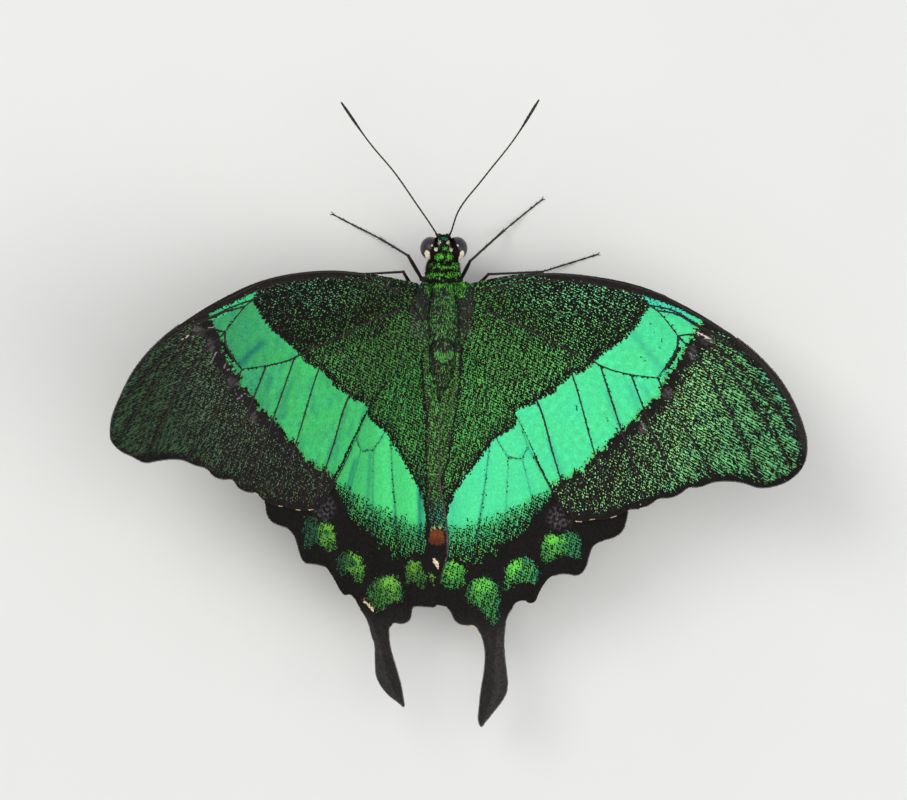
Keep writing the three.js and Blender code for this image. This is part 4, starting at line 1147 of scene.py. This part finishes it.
ABDOMEN = [(6.6, 1.9, 2, 7.8), (6.15, 2.05, 2.1, 7.8), (3, 2.35, 2.25, 7.75), (-1.2, 2.15, 2.1, 7.75),
           (-4, 1.75, 1.75, 7.8), (-6.8, 1.15, 1.2, 7.95), (-8.2, 0.4, 0.45, 8.05)]
RINGS = [4.9, 3.1, 1.3, -0.5, -2.2, -3.8, -5.3, -6.6]  # joints between the abdomen's rings
RING_DEPTH, RING_HALF = 0.09, 0.13
PALP = [(21.3, 6.5), (21.9, 6.45), (22.4, 6.75), (22.6, 7.3), (22.6, 7.9)]
PALP_OUT, PALP_RADII = 0.5, [0.2, 0.32, 0.34, 0.32, 0.2]
SHELL_CELL = 0.13
SOCKETS = [(1.4, 16.9, 5.6), (1.4, 13.4, 4.6), (1.3, 9.5, 4.5)]  # of the legs, on the right side
SOCKET_RADII = (0.62, 0.9, 1.0)
SHOULDER, SHOULDER_RADII, SHOULDER_LEAN = (2.3, 12.3, 9.6), (0.85, 4.5, 1.1), 0.3
ROOT_PLATE_X, ROOT_PLATE_Y, ROOT_PLATE_RADII = 2.75, 14.3, (1.0, 2.5, 0.28)


def loft(stations, middle, inset):
    """A closed shell of upright ellipses, its middle line running with y."""
    y, wide, high, level = smooth_line(stations, 0.2).T
    wide, high = np.maximum(wide - inset, 0.08), np.maximum(high - inset, 0.08)
    angle = np.linspace(0, 2 * np.pi, 40, endpoint=False)
    rings = np.stack([middle(y)[:, None] + wide[:, None] * np.cos(angle), y[:, None] + 0 * angle,
                      level[:, None] + high[:, None] * np.sin(angle)], 2)
    ends = np.array([[middle(y[k]), y[k] + cap, level[k]] for k, cap in ((0, 0.05), (-1, -0.05))])
    return np.concatenate([rings.reshape(-1, 3), ends]), wrap(len(y), len(angle))


def cap_of_ball(down, sides, end):
    """Rings round a ball's x axis, at angles down from its pole, closed at the pole and at x = end."""
    around = np.linspace(0, 2 * np.pi, sides, endpoint=False)
    rings = np.stack([np.outer(np.cos(down), np.ones(sides)), np.outer(np.sin(down), np.cos(around)),
                      np.outer(np.sin(down), np.sin(around))], 2).reshape(-1, 3)
    return np.concatenate([rings, [[1, 0, 0], [end, 0, 0]]]), wrap(len(down), sides)[:, [0, 2, 1]]


def ball(centre, radii, tilt=0.0):
    """A closed ellipsoid, tilted about the y axis."""
    down = np.linspace(0, np.pi, 16)[1:-1]
    dome, faces = cap_of_ball(down, 28, -1)
    along, side, up = (dome[:, [1, 2, 0]] * radii).T
    cos, sin = math.cos(tilt), math.sin(tilt)
    return np.stack([along * cos + up * sin, side, up * cos - along * sin], 1) + centre, faces


def straight(y):
    return HEAD_X * ramp(y, 19, 21)


parts = [loft(stations, middle, COAT_DEPTH)
         for stations, middle in ((HEAD, straight), (TRUNK, straight), (ABDOMEN, body_x))]
for socket in SOCKETS:
    parts += [ball(np.array([mirror, 1, 1]) * socket, SOCKET_RADII) for mirror in SIDES.values()]
for side, mirror in SIDES.items():
    parts.append(ball(np.array([mirror, 1, 1]) * SHOULDER, SHOULDER_RADII, mirror * SHOULDER_LEAN))
    height = sheet_height(side, np.array([[mirror * 2.9, ROOT_PLATE_Y]]))[0] + 2 * SHEET
    parts.append(ball((mirror * ROOT_PLATE_X, ROOT_PLATE_Y, height), ROOT_PLATE_RADII,
                      -mirror * math.radians(RISE[side])))
    path = [(HEAD_X + mirror * PALP_OUT, y, z) for y, z in PALP]
    parts.append(tubes([smooth_line(path, 0.12)], [PALP_RADII], sides=14))
raw = bpy.data.meshes.new("raw")
starts = np.cumsum([0] + [len(points) for points, _ in parts])
raw.from_pydata(np.concatenate([points for points, _ in parts]).tolist(), [],
                np.concatenate([faces + start for (_, faces), start in zip(parts, starts)]).tolist())
raw_object = bpy.data.objects.new("raw", raw)
bpy.context.scene.collection.objects.link(raw_object)
remesh = raw_object.modifiers.new("one_shell", "REMESH")
remesh.mode, remesh.voxel_size = "VOXEL", SHELL_CELL
smooth = raw_object.modifiers.new("even", "SMOOTH")
smooth.factor, smooth.iterations = 0.5, 6
shell = raw_object.evaluated_get(bpy.context.evaluated_depsgraph_get()).to_mesh()
shell_points, shell_normals = np.zeros((2, len(shell.vertices), 3))
shell.vertices.foreach_get("co", shell_points.ravel())
shell.vertices.foreach_get("normal", shell_normals.ravel())
shell_faces = np.array([face.vertices[:] for face in shell.polygons if len(face.vertices) == 4])
bpy.data.objects.remove(raw_object)
bpy.data.meshes.remove(raw)

# Grooves of the thorax from above: beside the middle plate, round the small rear plate, and the
# folds between neck, collar and thorax. Each is a line of x and y with a depth and a half width.
GROOVES = [([(1.2, 16.4), (1.45, 14.8), (1.75, 12.8), (1.8, 10.6), (1.5, 9.4)], 0.16, 0.16),
           ([(-1.35, 16.4), (-1.75, 15), (-2.0, 13), (-1.95, 10.8), (-1.7, 9.6)], 0.16, 0.16),
           ([(-1.85, 8.2), (-1.3, 9), (-0.3, 9.35), (0.8, 9.2), (1.5, 8.5)], 0.16, 0.16),
           ([(-1.85, 8.2), (-1.5, 7), (-0.6, 6.25), (0.5, 6.2), (1.2, 6.9), (1.5, 8.5)], 0.16, 0.16),
           ([(-2.4, 16.9), (0, 16.75), (2.4, 16.9)], 0.2, 0.2),
           ([(-2.3, 18.2), (0, 18.25), (2.3, 18.2)], 0.14, 0.14),
           ([(-2.1, 19.3), (0, 19.45), (2.1, 19.3)], 0.1, 0.12)]
above = np.clip(shell_normals[:, 2] * 2, 0, 1)
sunk = np.zeros(len(shell_points))
for line, deep, half in GROOVES:
    sunk = np.maximum(sunk, deep * along_line(shell_points[:, :2], smooth_line(line, 0.3), half) * above)
for joint in RINGS:
    ring = np.exp(-(((shell_points[:, 1] - joint) / RING_HALF) ** 2)) * (shell_points[:, 1] < 5.6)
    sunk = np.maximum(sunk, RING_DEPTH * ring)
shell_points = shell_points - shell_normals * sunk[:, None]

# Green patches seen from above: middle, half widths and share of green scales.
HEAD_PATCHES = [((0.02, 22.3), (0.6, 0.25), 0.55), ((0.15, 21.12), (0.42, 0.12), 0.95),
                ((-0.6, 20.1), (0.55, 0.42), 0.55), ((0.72, 20.05), (0.5, 0.42), 0.6),
                ((0.45, 19.5), (0.5, 0.2), 0.6), ((-1.2, 18.9), (0.8, 0.3), 0.35),
                ((0.2, 18.72), (0.9, 0.22), 0.65), ((1.45, 18.95), (0.65, 0.4), 0.55),
                ((-1.25, 17.75), (0.95, 0.42), 0.55), ((0.75, 17.7), (0.6, 0.35), 0.55),
                ((1.6, 18), (0.5, 0.55), 0.5), ((0.4, 16.3), (1.15, 0.28), 0.6),
                ((-0.6, 16.2), (0.8, 0.25), 0.5),
                ((2.15, 16), (0.75, 1.3), 0.5), ((-2.2, 16), (0.5, 1.2), 0.4)]
CREAM_SPOTS = [((-0.61, 21.8), (0.2, 0.21)), ((0.62, 21.8), (0.2, 0.22)), ((-0.97, 21.06), (0.24, 0.24)),
               ((0.9, 20.97), (0.22, 0.26))]
BODY = dict(
    black=(22.0, 20, 18), trunk=(41, 42, 40), worn=(60, 54, 53), cream=(222, 214, 186),
    buff=(150, 136, 104), fleck=(84, 150, 70), bright_fleck=(92, 182, 80), olive=(112, 122, 66),
    shoulder=(66, 160, 116), head=(98, 204, 62), face=(50, 150, 110))


def body_marks(points, normals):
    """Ground colour, scale colour and share of coloured scales over the body."""
    flat = points[:, :2]
    x, y = flat.T
    ground = np.tile(BODY["black"], (len(points), 1))
    top = ramp(normals[:, 2], 0.0, 0.35)
    # The trunk: green flecks down the middle, rubbed brown along the sides.
    centre = ramp(np.abs(x + 0.15), 2.6, 1.2)
    share = np.where(y < 16.6, 0.1 + 0.17 * centre, 0.05)
    ground = blend(ground, BODY["trunk"], ramp(y, 16.9, 16.2))
    share = share + 0.16 * ramp(x, 0.1, 0.8) * ramp(x, 1.9, 1.2) * ramp(y, 10.5, 12.5) * (y < 16.6)
    rear_plate = (y < 9) & (y > 6.3) & (np.abs(x + 0.1) < 1.5)
    share = np.where(rear_plate, 0.1 + 0.42 * ramp(y, 8.2, 7.6) * (x > -1.2), share)
    share = share * (1 + 0.5 * grain(flat, 0.8, 2))
    tint = blend(BODY["fleck"], BODY["bright_fleck"], 0.5 + 0.5 * grain(flat, 0.9, 4))
    olive = 0.6 * ramp(grain(flat, 1.1, 6), 0, 0.8) * ramp(x, 0.8, 0) * (y < 16.4)
    tint = blend(tint, BODY["olive"], olive)
    tint = blend(tint, BODY["shoulder"], 0.7 * ramp(np.abs(x), 1.6, 2.2) * ramp(y, 12, 14.5))
    worn = ramp(np.abs(x + 0.2), 1.9, 2.5) * ramp(y, 8.5, 9.8) * ramp(y, 15.4, 13)
    worn = worn * ramp(grain(flat, 0.9, 1), -0.9, 0)
    ground, share = blend(ground, BODY["worn"], 0.7 * worn), share * (1 - 0.35 * worn)
    for middle, half, close in HEAD_PATCHES:
        out = from_middle(flat, middle, half) + 0.25 * grain(flat, 0.35, 1)
        patch = 0.92 * close * ramp(out, 1.2, 0.75)
        tint = blend(tint, BODY["head" if middle[1] < 22 else "face"], np.clip(patch * 2, 0, 1))
        share = np.maximum(share, patch)
    for line, _, half in GROOVES:
        share = share * ramp(np.abs(beside(flat, smooth_line(line, 0.3))), 0.3 * half, 1.3 * half)
    for joint in RINGS:
        share = share * ramp(np.abs(y - joint), 0.05, 0.2)
    # Below, brown-black with buff scales, in three pale stripes along the abdomen.
    off = x - body_x(y)
    stripes = (np.exp(-(((np.abs(off) - 1.1) / 0.25) ** 2)) + np.exp(-((off / 0.2) ** 2))) * (y < 6)
    share = share * top + (0.16 + 0.5 * stripes) * (1 - top)
    tint = blend(BODY["buff"], tint, top)
    for middle, half in CREAM_SPOTS:
        cream = (from_middle(flat, middle, half) < 1) & (normals[:, 2] > 0)
        ground[cream], share[cream] = BODY["cream"], 0
    return ground, tint, share


def body_layout(points):
    """Where a point of the body lies on its flat layout: round the shell and along it."""
    round_shell = np.arctan2(points[:, 0] - body_x(points[:, 1]), 7.9 - points[:, 2]) / (2 * np.pi) + 0.5
    return np.stack([0.02 + 0.96 * round_shell, 0.02 + 0.96 * (points[:, 1] + 9) / 33], 1)


body_material = marked_material("body_skin", True, bare_rough=0.6)
coat_material = marked_material("body_coat", False, bare_rough=0.62)
piece = new_piece("body_skin", shell_points, shell_faces, body_material)
add_marks(piece.data, *body_marks(shell_points, shell_normals), np.zeros(len(shell_points)))
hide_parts("head", "prothorax", "thorax", "abdomen", "palp_right", "palp_left", "tegula_right",
            "tegula_left")

# ---- Eyes --------------------------------------------------------------------------------------
# Two large round eyes of many small facets, dark and glossy, each set in the side of the head.
EYE_OUT, EYE_Y, EYE_Z = 1.72, 21.05, 8.0
EYE_RADII = (1.36, 1.5, 1.62)
EYE_END = 0.66 * np.pi  # how far down from its pole an eye reaches
FACET = 0.075
EYE_DARK, EYE_PALE, EYE_EDGE = (34, 29, 37), (76, 68, 78), (34, 26, 34)

eye_material, tree, shader = new_material("eye", Roughness=0.34, Coat_Weight=0.12, Coat_Roughness=0.12,
                                          Specular_IOR_Level=0.3)
facets = node_in(tree, "ShaderNodeTexVoronoi", Vector=object_place(tree), Scale=1 / (FACET * MM),
                 Randomness=0.25)
bump = node_in(tree, "ShaderNodeBump", Height=facets.outputs["Distance"], Strength=0.5, Distance=RELIEF)
bump.invert = True
tree.links.new(bump.outputs["Normal"], shader.inputs["Normal"])
cloud = node_in(tree, "ShaderNodeTexNoise", Vector=object_place(tree), Scale=1 / (1.6 * MM), Detail=2.0)
spread = mixed(tree, cloud.outputs["Fac"], colour4(EYE_DARK), colour4(EYE_PALE))
edged = mixed(tree, facets.outputs["Distance"], spread, colour4(EYE_EDGE))
tree.links.new(edged, shader.inputs["Base Color"])

for side, mirror in SIDES.items():
    dome, faces = cap_of_ball(np.linspace(0, EYE_END, 40)[1:], 72, math.cos(EYE_END))
    dome = dome * EYE_RADII * [mirror, 1, 1] + [HEAD_X + mirror * EYE_OUT, EYE_Y, EYE_Z]
    piece = new_piece(f"eye_{side}_facets", dome, faces if mirror > 0 else faces[:, ::-1], eye_material)
    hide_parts(f"eye_{side}")

# ---- Antennae ----------------------------------------------------------------------------------
# Slender feelers of some thirty short segments on a stout base, thickened to a club near the tip.
ANTENNAE = {"right": [(0.66, 22.55, 8.9), (0.86, 23, 9.5), (1.7, 25.6, 10.4), (4.9, 30, 11.5),
                      (9, 35.3, 12.5), (12.1, 40.3, 13.2)],
            "left": [(-0.7, 22.5, 8.9), (-1.0, 22.95, 9.5), (-3.85, 27, 10.7), (-6.6, 30.8, 11.6),
                     (-9.8, 34.5, 12.4), (-13.7, 39.9, 13.2)]}
SEGMENTS = 36
FEELER, CLUB = 0.115, 0.21

feeler_material = mottled_material("feeler_shell", (20, 15, 14), (52, 38, 31), 0.7, Roughness=0.45,
                                   Specular_IOR_Level=0.3)

for side, mirror in SIDES.items():
    line = smooth_line(ANTENNAE[side], 0.06)
    share = np.linspace(0, 1, len(line))
    club = ramp(share, 0.76, 0.88) * ramp(share, 1.02, 0.93)
    radius = FEELER * (1 - 0.12 * share) + (CLUB - FEELER) * club
    segment = (share * SEGMENTS) % 1
    radius = radius * (1 - 0.16 * (np.abs(segment - 0.5) > 0.4))
    radius = np.where(share < 0.02, 0.17, np.where(share < 0.035, 0.15, radius))
    radius[-3:] *= [0.9, 0.7, 0.45]
    piece = new_piece(f"antenna_{side}_segments", *tubes([line], [radius], sides=12), feeler_material)
    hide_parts(f"antenna_{side}")

# ---- Proboscis ---------------------------------------------------------------------------------
# The tongue, two half tubes laid side by side, coiled up under the head like a watch spring.
COIL_Y, COIL_Z, COIL_RADIUS = 21.05, 5.45, 0.74
COIL_TURNS = 2.4
STRAND, STRAND_OFF = [0.12, 0.11, 0.09, 0.06], 0.07  # a half tube's radii, and its place off the middle
tongue_material = mottled_material("tongue", (46, 28, 18), (86, 56, 34), 0.25, Roughness=0.4)
turn = np.linspace(0, COIL_TURNS * 2 * np.pi, 150)
radius = COIL_RADIUS * (1 - 0.72 * turn / turn[-1])
coil = np.stack([0 * turn, COIL_Y + radius * np.sin(turn + 0.4), COIL_Z + radius * np.cos(turn + 0.4)], 1)
coil = np.concatenate([[[0, 21.3, 6.75], [0, 21.32, 6.5]], coil[2:]])
strands = [coil + [HEAD_X + off, 0, 0] for off in (-STRAND_OFF, STRAND_OFF)]
piece = new_piece("proboscis_coil", *tubes(strands, [STRAND] * 2, sides=12), tongue_material)
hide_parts("proboscis")

# ---- Legs --------------------------------------------------------------------------------------
# Six slender legs of hard dark shell: hip, thigh, shin with two spurs, and a foot of five short
# segments with two claws. They are set with rows of fine spines.
# Points: hip, ring, knee, ankle and toe, the toe on the floor.
LEGS = {("fore", "right"): [(1.5, 17, 5.2), (2.6, 17, 4.8), (3.65, 19.4, 7), (8.5, 23.4, 1.1),
                            (13.75, 27.6, 0)],
        ("fore", "left"): [(-1.5, 17, 5.2), (-2.5, 17.1, 4.8), (-4.45, 20.1, 7), (-7.6, 22.4, 1.1),
                           (-13.75, 25.6, 0)],
        ("mid", "right"): [(1.3, 13.4, 3.9), (2.2, 13.5, 3.2), (6.05, 17.7, 7.1), (13.65, 18.1, 1.1),
                           (21.05, 20.4, 0)],
        ("mid", "left"): [(-1.3, 13.4, 3.9), (-2.2, 13.5, 3.2), (-5.1, 18, 7.1), (-12.95, 17.6, 1.1),
                          (-20.35, 17, 0)],
        ("hind", "right"): [(1.2, 9.4, 3.95), (2.1, 9, 3.3), (6.95, 3.5, 7.1), (11.45, -3.5, 1.1),
                            (14.95, -10, 0)],
        ("hind", "left"): [(-1.2, 9.4, 3.95), (-2.1, 9, 3.3), (-7.95, 3.9, 7.1), (-12.55, -3.3, 1.1),
                           (-16.35, -9.7, 0)]}
HIP = [0.42, 0.4, 0.33]
THIGH = [0.2, 0.25, 0.27, 0.25, 0.19]
SHIN = [0.17, 0.16, 0.15, 0.15, 0.18]
FOOT_PARTS = [0.42, 0.2, 0.15, 0.11, 0.12]  # shares of the foot's length
FOOT_RADIUS, TOE_RADIUS = 0.125, 0.1
SOLE_SHARE = 0.62
SPINE, SPINE_THICK = 0.26, 0.03
SPUR, SPUR_THICK = 0.75, 0.06
SHIN_SPUR, SHIN_SPUR_THICK = 1.1, 0.08  # one more, half way down each fore shin
CLAW = [(-0.1, 0, 0), (0.16, 0.1, 0.03), (0.32, 0.19, -0.02), (0.38, 0.24, -0.08)]  # on, out and up
CLAW_RADII = [0.055, 0.05, 0.035, 0.012]
SPINE_ROWS = [(26, 0.15), (24, 0.11), (14, 0.1)]  # shin, sole and toes: how many, how far from the middle

leg_material = mottled_material("leg_shell", (18, 13, 12), (50, 34, 27), 0.5, relief=0.4, Roughness=0.42,
                                Specular_IOR_Level=0.35)


def spikes(roots, ways, length, thick):
    """Lines and radii of small pointed spines."""
    lines = [np.array([root - way * 0.05, root + way * length * 0.5, root + way * length])
             for root, way in zip(roots, ways)]
    return lines, [[thick, 0.7 * thick, 0.12 * thick]] * len(lines)


for (pair, side), joints in LEGS.items():
    hip, ring, knee, ankle, toe = (np.array(joint, float) for joint in joints)
    hip = hip + [0, 0, 0.3]
    toe[2] = TOE_RADIUS
    sole = ankle + (toe - ankle) * SOLE_SHARE
    sole[2] = FOOT_RADIUS
    lines = [np.linspace(hip, ring, 8), np.linspace(ring, knee, 14), np.linspace(knee, ankle, 14)]
    radii = [HIP, THIGH, SHIN]
    foot = smooth_line([ankle, (ankle + sole) / 2 + [0, 0, 0.05], sole, toe], 0.1)
    cuts = np.concatenate([[0], np.cumsum(FOOT_PARTS)]) * (len(foot) - 1)
    for part, (start, end) in enumerate(zip(cuts[:-1], cuts[1:])):
        piece_of_foot = foot[int(round(start)):int(round(end)) + 1]
        thick = FOOT_RADIUS + (TOE_RADIUS - FOOT_RADIUS) * part / 4
        lines.append(piece_of_foot)
        radii.append([0.72 * thick, 0.86 * thick, thick])
    # Knee and ankle joints, and the small ring between hip and thigh.
    thigh_way, shin_way = unit(knee - ring), unit(ankle - knee)
    for place, size in ((ring, 0.34), (knee, 0.23), (ankle, 0.2)):
        way = thigh_way
        lines.append(np.linspace(place - way * size * 0.8, place + way * size * 0.8, 5))
        radii.append([0.5 * size, 0.9 * size, size, 0.9 * size, 0.5 * size])
    flank, toe_way = unit(np.cross(shin_way, [0, 0, 1])), unit(toe - sole)
    # At each side a spur on the ankle and a claw on the toe.
    for turn in (1, -1):
        way = unit(shin_way * 0.85 + flank * 0.45 * turn - [0, 0, 0.15])
        more, thick = spikes([ankle], [way], SPUR, SPUR_THICK)
        lines, radii = lines + more, radii + thick
        out = np.cross(toe_way, [0, 0, 1]) * turn
        lines.append(toe + CLAW @ np.array([toe_way, out, [0, 0, 1]]))
        radii.append(CLAW_RADII)
    if pair == "fore":
        more, thick = spikes([knee + 0.45 * (ankle - knee)], [shin_way * 0.95 - flank * 0.3],
                             SHIN_SPUR, SHIN_SPUR_THICK)
        lines, radii = lines + more, radii + thick
    for start, end, (count, radius) in zip((knee, ankle, sole), (ankle, sole, toe), SPINE_ROWS):
        share = rng.uniform(0.05, 0.97, count)[:, None]
        turn = rng.uniform(0, 2 * np.pi, count)[:, None]
        way = unit(end - start)
        out = unit(np.cross(way, [0, 0, 1]))
        out = np.cos(turn) * out + np.abs(np.sin(turn)) * np.cross(out, way)
        roots = start + share * (end - start) + out * radius * 0.8
        ways = way * 0.8 + out * 0.6
        more, thick = spikes(roots, ways, SPINE, SPINE_THICK)
        lines, radii = lines + more, radii + thick
    piece = new_piece(f"leg_{pair}_{side}_shell", *tubes(lines, radii, sides=10), leg_material)
    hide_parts(f"leg_{pair}_{side}")

# ---- Body coat ---------------------------------------------------------------------------------
# Narrow scales lie along the body like short fur, smallest on the face, with long fine hair on the
# flanks and under the thorax. Cream scales edge the eyes behind.
COAT_PITCH = 0.115
HAIR_PITCH = 0.42
COLLAR_Y = 15.2  # the coat is made in two pieces that meet here
HAIR_DARK, HAIR_PALE = (26, 22, 20), (58, 48, 40)
BROW_BLACK, BROW_CREAM = (23, 20, 20), (226, 216, 190)
BROW_SOWN = 5600


def sow_on(points, faces, pitch, wanted):
    """Places scattered over a surface about a pitch apart, with their normals."""
    a, b, c, d = (points[faces[:, k]] for k in range(4))
    face_normal = np.cross(b - a, d - a)
    area = np.linalg.norm(face_normal, axis=1)
    share = area * wanted((a + c) / 2) / pitch**2
    count = np.floor(share + rng.random(len(share))).astype(int)
    chosen = np.repeat(np.arange(len(faces)), count)
    s, t = rng.random((2, len(chosen)))
    place = a[chosen] + s[:, None] * (b - a)[chosen] + t[:, None] * (d - a)[chosen]
    return place, face_normal[chosen] / area[chosen][:, None]


def lie(places):
    """The way the coat lies: back along the body, forward and down on the face."""
    x, y, z = places.T
    way = np.stack([0.12 * x, -1 + 0 * y, -0.05 + 0 * z], 1)
    face = ramp(y, 21.2, 22)[:, None]
    return way * (1 - face) + np.stack([0.2 * x, 0.5 + 0 * x, 0.7 * (z - 7.6)], 1) * face


def close_ahead(p):
    """How thickly the coat grows: closer on head and collar."""
    return np.where(p[:, 1] > 16.8, 1.5, 1.0)


place, normal = sow_on(shell_points, shell_faces, COAT_PITCH, close_ahead)
order = rng.random(len(place))
lying = laid(lie(place) + rng.normal(0, 0.22, place.shape), normal)
face_share = ramp(place[:, 1], 18.5, 21)
length = (0.32 - 0.1 * face_share) * rng.uniform(0.75, 1.25, len(place))
width = (0.1 - 0.02 * face_share) * rng.uniform(0.8, 1.2, len(place))
marks = body_marks(place, normal)
front = place[:, 1] > COLLAR_Y
for name, part in (("head_scales", front), ("body_scales", ~front)):
    piece = scales(name, place[part], lying[part], normal[part], [0.6 * width[part], width[part]],
                   length[part], body_layout(place[part]), [one[part] for one in marks], order[part],
                   coat_material, tilt=0.3)


def hairy(p):
    """How thickly the hair grows: most under the flanks, and along the back between the hindwings."""
    flanks = (p[:, 2] < 7.8) & (p[:, 1] > 6) | (p[:, 1] > 16.7) | (np.abs(p[:, 0]) > 2)
    back = (p[:, 2] > 9.2) & (p[:, 1] < 5.8) & (p[:, 1] > -3)
    return np.where(back, 3, np.where(flanks, 1.6, 0.25)) * (p[:, 1] < 20.3)


place, normal = sow_on(shell_points, shell_faces, HAIR_PITCH, hairy)
lying = unit(laid(lie(place) + rng.normal(0, 0.35, place.shape), normal) + 0.5 * normal)
short = (place[:, 2] > 8.5) | (place[:, 1] > 16.5)
length = rng.uniform(0.6, 1.25, len(place)) * np.where(short, 0.55, 1)
dark = blend(HAIR_DARK, HAIR_PALE, rng.random(len(place)))
piece = scales("body_hair", place, lying, normal, [0.055, 0.02], length, body_layout(place),
               plain_marks(dark), rng.random(len(place)), coat_material, tilt=0.1)


def on_eye(mirror, x, y, lift=0.03):
    """Points on the upper half of an eye, from how far out and how far forward they lie."""
    a = (x - EYE_OUT) / EYE_RADII[0]
    b = (y - EYE_Y) / EYE_RADII[1]
    c = np.sqrt(np.maximum(1 - a**2 - b**2, 0.0))
    normal = unit(np.stack([mirror * a / EYE_RADII[0], b / EYE_RADII[1], c / EYE_RADII[2]], 1))
    place = np.stack([HEAD_X + mirror * x, y, EYE_Z + EYE_RADII[2] * c], 1)
    return place + normal * lift, normal


BAR_Y, BAR_X = [19.45, 19.75, 20.2, 20.6, 20.85], [1.82, 1.95, 2.1, 2.24, 2.3]
BAR_HALF = [0.13, 0.25, 0.33, 0.24, 0.0]
for side, mirror in SIDES.items():
    x, y = rng.uniform([0.9, 19.4], [2.6, 22.4], (BROW_SOWN, 2)).T
    inner = x < np.interp(y, [19.6, 20.2, 20.9, 21.6, 22.4], [1.8, 1.85, 1.75, 1.4, 1.15])
    bar = np.abs(x - np.interp(y, BAR_Y, BAR_X)) < np.interp(y, BAR_Y, BAR_HALF)
    dot = np.hypot(x - 1.58, (y - 21.5) * 1.3) < 0.09
    real = ((x - EYE_OUT) / EYE_RADII[0]) ** 2 + ((y - EYE_Y) / EYE_RADII[1]) ** 2 < 0.995
    keep = (inner | bar | dot) & real
    x, y, pale = x[keep], y[keep], (bar | dot)[keep]
    place, normal = on_eye(mirror, x, y)
    for spot, half in CREAM_SPOTS:
        pale |= from_middle(place[:, :2], spot, half) < 1
    lying = laid([mirror * 0.6, -1, 0] + rng.normal(0, 0.2, place.shape), normal)
    ground = np.where(pale[:, None], BROW_CREAM, BROW_BLACK)
    piece = scales(f"eye_{side}_brow", place - normal * 0.05, lying, normal, [0.06, 0.09],
                   rng.uniform(0.16, 0.26, len(x)), body_layout(place), plain_marks(ground),
                   rng.random(len(x)), coat_material, tilt=0.35)

# ---- Floor, light and camera -------------------------------------------------------------------
# A plain pale floor and soft studio light. The camera looks straight down on the insect.
FLOOR_SIZE = 8.0  # in metres
CAMERA_HEIGHT = 1200.0  # above the wings
CAMERA_ROLL = 5.0  # it leans this far to the insect's left
VIEW_WIDTH = 907 * 0.13
SENSOR = 36
AIM = (0.0, 0.0, 10.0)
OFF_CENTRE = (1.209, 1.3)
bpy.context.scene.view_settings.view_transform = "Standard"

floor_material = mottled_material("pale_floor", (226, 226, 222), (232, 232, 228), 40, Roughness=0.7)
bpy.ops.mesh.primitive_plane_add(size=FLOOR_SIZE)
floor = bpy.context.object
floor.name = "floor"
floor.data.materials.append(floor_material)


def softbox(name, place, size, power):
    """A square lamp at a place in metres, turned to the insect."""
    lamp = bpy.data.lights.new(name, "AREA")
    lamp.size, lamp.energy = size, power
    lamp_object = bpy.data.objects.new(name, lamp)
    lamp_object.location = place
    lamp_object.rotation_euler = (-Vector(place)).to_track_quat("-Z", "Y").to_euler()
    bpy.context.scene.collection.objects.link(lamp_object)


softbox("key", (-0.4, 0.3, 0.6), 0.4, 2.2)
softbox("fill", (0.5, -0.2, 0.5), 0.6, 1.8)
softbox("top", (0.0, 0.0, 0.9), 0.7, 2.4)

world = bpy.data.worlds.new("studio")
bpy.context.scene.world = world
world.use_nodes = True
sky = world.node_tree.nodes["Background"].inputs
sky["Color"].default_value = (0.95, 0.97, 1.0, 1)
sky["Strength"].default_value = 0.4

roll = math.radians(CAMERA_ROLL)
across = Vector((math.cos(roll), 0, math.sin(roll)))
back = Vector((-math.sin(roll), 0, math.cos(roll)))
ahead = Vector((0, 1, 0))
eye_at = Vector(AIM) + across * OFF_CENTRE[0] + ahead * OFF_CENTRE[1] + back * CAMERA_HEIGHT
lens = bpy.data.cameras.new("camera")
lens.sensor_width = SENSOR
lens.lens = SENSOR * CAMERA_HEIGHT / VIEW_WIDTH
lens.clip_start, lens.clip_end = 0.05, 10
camera = bpy.data.objects.new("camera", lens)
camera.matrix_world = Matrix.Translation(Vector(in_frame([eye_at])[0])) @ Matrix(
    (across, ahead, back)).transposed().to_4x4()
bpy.context.scene.collection.objects.link(camera)
bpy.context.scene.camera = camera
